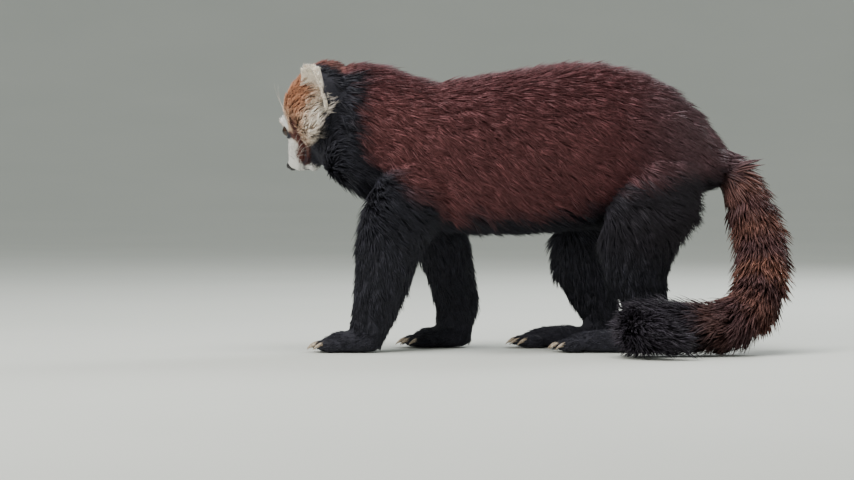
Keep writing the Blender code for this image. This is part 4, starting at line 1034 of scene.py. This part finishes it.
def eye_piece(name, side):
    centre, look = eye_axis(side)
    work = bmesh.new()
    bmesh.ops.create_uvsphere(work, u_segments=48, v_segments=36, radius=EYE_RADIUS)
    turn = look.to_track_quat("Z", "Y").to_matrix()
    colours = []
    for vertex in work.verts:
        angle = math.degrees(vertex.co.angle(Vector((0, 0, 1))))
        vertex.co *= 1.0 + 0.055 * math.exp(-(angle / 30) ** 2)
        if angle < PUPIL_ANGLE:
            colours.append(PUPIL)
        elif angle < IRIS_ANGLE:
            colours.append(tuple(v * (0.6 + angle / 60) for v in IRIS))
        else:
            colours.append(EYE_RIM)
        vertex.co = centre + turn @ vertex.co
    mesh = finished_mesh(work, name)
    paint(mesh, np.array(colours))
    mesh.shade_smooth()
    return shown(name, mesh)


eye_finish = fur_material("eye_finish", 0.05, 0.85, 1.15, 900.0, 0.0)
eye_finish.node_tree.nodes["Principled BSDF"].inputs["Specular IOR Level"].default_value = 0.6
eyes = [eye_piece("eyeball_left", 1), eye_piece("eyeball_right", -1)]
for eye in eyes:
    eye.data.materials.append(eye_finish)
print("eyes made:", [eye.name for eye in eyes])

# %% [markdown]
# The nose is a bare pad with two comma-shaped nostrils and a groove down the middle. Cutting holes would
# leave thin edges, so the nostrils are pressed into a fine rounded form, and its pebbled grain is a bump.

# %% Make the nose pad


def nose_piece():
    work = bmesh.new()
    bmesh.ops.create_icosphere(work, subdivisions=5, radius=1.0)
    for vertex in work.verts:
        a, lateral, b = vertex.co
        flat = 1.0 - 0.18 * max(b, 0.0)
        a, lateral = a * flat, lateral * (1.0 + 0.12 * max(b, 0.0) - 0.22 * max(-b, 0.0))
        side = abs(lateral)
        slot_line = (side - 0.50 - 0.16 * max(0.0, -b)) / 0.19
        pit = math.exp(-slot_line ** 2 - ((b + 0.10 + 0.55 * max(side - 0.5, 0)) / 0.26) ** 2) * (a > 0)
        groove = math.exp(-(lateral / 0.075) ** 2) * (a > 0) * max(0.0, min(1.0, 0.6 - b))
        a *= 1.0 - 0.20 * max(a, 0.0) ** 2
        a -= 0.42 * pit + 0.13 * groove
        reach = (a * NOSE_RADII[0], lateral * NOSE_RADII[1], b * NOSE_RADII[2])
        vertex.co = head_point(*(Vector(NOSE_PLACE) + Vector(reach)))
    bmesh.ops.recalc_face_normals(work, faces=work.faces)
    mesh = finished_mesh(work, "nose_pad")
    mesh.shade_smooth()
    return shown("nose_pad", mesh)


nose_pad = nose_piece()
nose_finish, nodes, links, shader = new_material("nose_finish", 0.33, 0.5)
pebbles = textured(nodes, links, "ShaderNodeTexVoronoi", 1500.0).outputs["Distance"]
two_tones(nodes, links, shader, pebbles, (0.006, 0.005, 0.006), (0.020, 0.016, 0.018))
roughening(nodes, links, shader, pebbles, 0.35, 0.0004, invert=True)
nose_pad.data.materials.append(nose_finish)
print("nose faces:", len(nose_pad.data.polygons))

# %% [markdown]
# Claws and whiskers repeat: twenty claws, one to a toe, and a few rows of whiskers on each side. Each kind is
# modelled once, lying along +X, and Geometry Nodes sets it out on points that carry their own direction.
# The result is turned into plain mesh, so that it rides with the body like everything else.

# %% One claw and one whisker


def bent_spike(name, length, stations, sides):
    """A closed spike along +X from stations of share along, drop, half breadth and half height."""
    rings = [[(length * along, breadth * math.cos(2 * math.pi * i / sides),
               -length * drop + height * math.sin(2 * math.pi * i / sides)) for i in range(sides)]
             for along, drop, breadth, height in stations]
    return loft(name, rings)


claw_shape = bent_spike("claw_shape", CLAW_LENGTH, [
    (-0.35, 0.00, 0.0017, 0.0026), (0.05, -0.01, 0.0017, 0.0026), (0.30, 0.02, 0.0016, 0.0024),
    (0.52, 0.09, 0.0014, 0.0020), (0.70, 0.19, 0.0011, 0.0015), (0.86, 0.31, 0.0007, 0.0009),
    (0.96, 0.42, 0.0003, 0.0004), (0.99, 0.47, 0.0001, 0.0001)], 12)
whisker_shape = bent_spike("whisker_shape", 1.0, [
    (-0.06, 0.000, 0.0052, 0.0052), (0.15, 0.004, 0.0050, 0.0050), (0.35, 0.030, 0.0044, 0.0044),
    (0.55, 0.085, 0.0036, 0.0036), (0.75, 0.165, 0.0026, 0.0026), (0.90, 0.245, 0.0015, 0.0015),
    (1.00, 0.310, 0.0004, 0.0004)], 5)
print("faces of a claw and a whisker:", len(claw_shape.data.polygons), len(whisker_shape.data.polygons))

# %% [markdown]
# The tree takes the points, puts the shape on each, turns it by the way and the over of its point, and
# sizes it by a number drawn between the two named inputs. Its last nodes make the instances real and give
# them their finish, because instances would be lost when the model is kept. The shape wears the same finish,
# so that no empty slot is left on the result.

# %% The nodes that set out claws and whiskers


def setting_out(name, source, finish):
    group = bpy.data.node_groups.new(name, "GeometryNodeTree")
    face = group.interface
    face.new_socket("Geometry", in_out="INPUT", socket_type="NodeSocketGeometry")
    face.new_socket("Smallest", in_out="INPUT", socket_type="NodeSocketFloat")
    face.new_socket("Largest", in_out="INPUT", socket_type="NodeSocketFloat")
    face.new_socket("Seed", in_out="INPUT", socket_type="NodeSocketInt")
    face.new_socket("Geometry", in_out="OUTPUT", socket_type="NodeSocketGeometry")
    nodes, links = group.nodes, group.links
    start, end = nodes.new("NodeGroupInput"), nodes.new("NodeGroupOutput")
    shape = nodes.new("GeometryNodeObjectInfo")
    shape.inputs["Object"].default_value = source
    source.data.materials.append(finish)
    ways = []
    for layer in ("way", "over"):
        way = nodes.new("GeometryNodeInputNamedAttribute")
        way.data_type = "FLOAT_VECTOR"
        way.inputs["Name"].default_value = layer
        ways.append(way)
    turn = nodes.new("FunctionNodeAxesToRotation")
    turn.primary_axis, turn.secondary_axis = "X", "Z"
    links.new(ways[0].outputs["Attribute"], turn.inputs["Primary Axis"])
    links.new(ways[1].outputs["Attribute"], turn.inputs["Secondary Axis"])
    size = nodes.new("FunctionNodeRandomValue")
    size.data_type = "FLOAT"
    sockets = {socket.identifier: socket for socket in (*size.inputs, *size.outputs)}
    links.new(start.outputs["Smallest"], sockets["Min_001"])
    links.new(start.outputs["Largest"], sockets["Max_001"])
    links.new(start.outputs["Seed"], size.inputs["Seed"])
    put = nodes.new("GeometryNodeInstanceOnPoints")
    links.new(start.outputs["Geometry"], put.inputs["Points"])
    links.new(shape.outputs["Geometry"], put.inputs["Instance"])
    links.new(turn.outputs["Rotation"], put.inputs["Rotation"])
    links.new(sockets["Value_001"], put.inputs["Scale"])
    real = nodes.new("GeometryNodeRealizeInstances")
    links.new(put.outputs["Instances"], real.inputs["Geometry"])
    dress_node = nodes.new("GeometryNodeSetMaterial")
    dress_node.inputs["Material"].default_value = finish
    links.new(real.outputs["Geometry"], dress_node.inputs["Geometry"])
    links.new(dress_node.outputs["Geometry"], end.inputs["Geometry"])
    return group


def set_out(name, places, group, smallest, largest, seed):
    """Points with a way along and a way over, made into one plain mesh of the group's shape."""
    mesh = bpy.data.meshes.new(name)
    mesh.from_pydata([tuple(place) for place, _, _ in places], [], [])
    for layer, column in (("way", 1), ("over", 2)):
        values = mesh.attributes.new(layer, "FLOAT_VECTOR", "POINT")
        values.data.foreach_set("vector", [v for row in places for v in row[column]])
    made = shown(name, mesh)
    modifier = made.modifiers.new("set_out", "NODES")
    modifier.node_group = group
    wanted = {"Smallest": smallest, "Largest": largest, "Seed": seed}
    for item in group.interface.items_tree:
        if item.item_type == "SOCKET" and item.name in wanted:
            modifier[item.identifier] = wanted[item.name]
    made.update_tag()
    bpy.context.view_layer.update()
    applied(made)
    made.data.shade_smooth()
    return made


def horn_material(name, dark, pale, low, high, scale):
    made, nodes, links, shader = new_material(name, 0.38, 0.45)
    streaks = textured(nodes, links, "ShaderNodeTexNoise", scale, 6.0)
    two_tones(nodes, links, shader, streaks.outputs["Fac"], dark, pale, low, high)
    return made


horn_finish = horn_material("horn_finish", (0.26, 0.19, 0.13), (0.56, 0.47, 0.36), 0.35, 0.65, 500.0)
whisker_finish = horn_material("whisker_finish", (0.55, 0.50, 0.45), (0.80, 0.76, 0.70), 0.3, 0.7, 90.0)
print("finishes made:", horn_finish.name, whisker_finish.name)

# %% [markdown]
# A claw stands at the front of its toe and points the way the toe does. Whiskers grow in four rows on each
# whisker pad, the hind ones swept further back, and three stiff hairs stand over each eye.

# %% Set out the claws and the whiskers
claw_spots = []
for paw, side in PAWS:
    for toe, direction in toe_places(paw, side):
        start = toe + direction * (TOE_RADII[0] * 0.66) + Vector((0, 0, 0.0018))
        claw_spots.append((start, direction, Vector((0, 0, 1))))
claws = set_out("claws", claw_spots, setting_out("claw_nodes", claw_shape, horn_finish), 0.94, 1.06, 3)
print("claws set out:", len(claw_spots), "faces:", len(claws.data.polygons))

WHISKER_SINK = 0.0006
tree = BVHTree.FromObject(skin, bpy.context.evaluated_depsgraph_get())


def whisker_spot(place, way, over):
    """The skin's nearest point under a place, and the ways of a whisker there, all from the head's axes."""
    spot, normal, _, _ = tree.find_nearest(head_point(*place))
    return spot - normal * WHISKER_SINK, (AXES @ Vector(way)).normalized(), AXES @ Vector(over)


whisker_spots = []
for side in (1, -1):
    for row in range(4):
        for column in range(5 - row % 2):
            place = (0.0745 - 0.0042 * column - 0.001 * row, side * 0.028, -0.004 - 0.0036 * row)
            way = (-0.35 - 0.16 * column, side * (1.0 - 0.08 * column), 0.16 - 0.15 * row)
            whisker_spots.append(whisker_spot(place, way, (0.3, 0, 1)))
    for k in range(3):
        place = (0.036 - 0.004 * k, side * (0.021 + 0.004 * k), 0.036)
        whisker_spots.append(whisker_spot(place, (-0.5, side * (0.25 + 0.2 * k), 0.9), (1, 0, 0.2)))
whiskers = set_out("whiskers", whisker_spots, setting_out("whisker_nodes", whisker_shape, whisker_finish),
                   0.024, 0.040, 5)
print("whiskers set out:", len(whisker_spots))

# %% [markdown]
# Every piece now moves from the sizes' place to the imported model and rides with the one body, and the
# solids that the pieces cover are hidden. The workbench is cleared so that nothing is left over.

# %% Move and ride, and hide the solids
skin.data.shade_smooth()
bench.objects.unlink(skin)
bpy.context.scene.collection.objects.link(skin)
for thing in list(bench.objects):
    bpy.data.objects.remove(thing)
bpy.data.collections.remove(bench)
region_slots = {"head": "face_coat", "ears": "ear_coat", "trunk": "red_coat", "tail": "tail_coat",
                "legs": "dark_coat"}
dressed = [(skin, "red_coat"), (eyes[0], "eye"), (eyes[1], "eye"), (nose_pad, "nose"),
           (claws, "dark_coat"), (whiskers, "face_coat")]
dressed += [(coat, region_slots[coat.name.split("_")[1]]) for coat in coats]
for thing, slot_name in dressed:
    thing.data.transform(Matrix.Translation(SHIFT))
    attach(thing, "root")
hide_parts("head", "neck", "torso", "foreleg_left", "foreleg_right", "hindleg_left", "hindleg_right",
            "ear_left", "ear_right", "tail_1", "tail_2", "tail_3", "tail_4")
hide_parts("eye_left")
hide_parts("eye_right")
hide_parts("nose")
print("pieces:", len(dressed), "faces:", sum(len(thing.data.polygons) for thing, _ in dressed))

# %% [markdown]
# The stage is a wide pale floor that rises far off like a shallow bowl, so that no edge shows from any side.
# It is made of rings of points, each joined to the next, with one point in the middle of the inmost ring.

# %% Floor
FLOOR_STEPS = [(0.0, 0.0), (2.0, 0.0), (5.0, 0.0), (6.4, 0.05), (7.6, 0.20), (8.8, 0.46), (9.8, 0.85),
               (10.8, 1.5), (11.6, 2.4), (12.1, 3.6), (12.3, 5.0)]
AROUND = 48
floor_points = [(reach * math.cos(2 * math.pi * i / AROUND), reach * math.sin(2 * math.pi * i / AROUND), z)
                for reach, z in FLOOR_STEPS[1:] for i in range(AROUND)] + [(0.0, 0.0, 0.0)]
floor_faces = [(i, (i + 1) % AROUND, len(floor_points) - 1) for i in range(AROUND)]
for first in range(0, (len(FLOOR_STEPS) - 2) * AROUND, AROUND):
    for i in range(AROUND):
        j = (i + 1) % AROUND
        floor_faces.append((first + i, first + AROUND + i, first + AROUND + j, first + j))
floor_mesh = bpy.data.meshes.new("floor")
floor_mesh.from_pydata(floor_points, [], floor_faces)
floor_mesh.shade_smooth()
floor = shown("floor", floor_mesh)
floor_finish, nodes, links, shader = new_material("floor_finish", 0.85, 0.2)
cloud = textured(nodes, links, "ShaderNodeTexNoise", 2.0)
two_tones(nodes, links, shader, cloud.outputs["Fac"], (0.56, 0.58, 0.54), (0.62, 0.63, 0.59))
floor.data.materials.append(floor_finish)
print("floor reaches:", FLOOR_STEPS[-1][0], "m")

# %% [markdown]
# Three large soft lights give an even shade with a little shape: one from above, one from the front left
# and one from behind, which draws the outline of the fur. A pale world fills the rest.

# %% Lights and world


def soft_light(name, place, target, size, power, colour):
    lamp = bpy.data.lights.new(name, "AREA")
    lamp.shape, lamp.size, lamp.energy, lamp.color = "DISK", size, power, colour
    made = shown(name, lamp)
    made.location = place
    made.rotation_euler = (Vector(target) - Vector(place)).to_track_quat("-Z", "Y").to_euler()


soft_light("top_light", (-0.2, -0.3, 2.2), (0, 0, 0.15), 1.8, 55, (1.0, 0.99, 0.97))
soft_light("front_light", (-1.6, -2.0, 1.3), (-0.1, 0, 0.15), 1.2, 42, (1.0, 0.97, 0.93))
soft_light("rim_light", (1.2, 1.8, 1.5), (0, 0, 0.2), 1.0, 40, (0.95, 0.98, 1.0))
world = bpy.context.scene.world or bpy.data.worlds.new("world")
bpy.context.scene.world = world
world.use_nodes = True
backdrop = world.node_tree.nodes["Background"]
backdrop.inputs["Color"].default_value = (0.80, 0.84, 0.82, 1)
backdrop.inputs["Strength"].default_value = 0.70

# %% [markdown]
# The camera stands at the height of the animal's flank, four metres off, with a long lens. That keeps the
# photograph's framing and its flat view from the animal's left side.

# %% Camera
lens = bpy.data.cameras.new("camera")
camera = shown("camera", lens)
bpy.context.scene.camera = camera
camera.location = Vector((-0.0803, -4.0, 0.220)) + SHIFT
aim = Vector((-0.0803, 0.0, 0.121)) + SHIFT
camera.rotation_euler = (aim - camera.location).to_track_quat("-Z", "Y").to_euler()
lens.sensor_width, lens.lens = 36.0, 153.0
print("camera at", [round(v, 3) for v in camera.location])
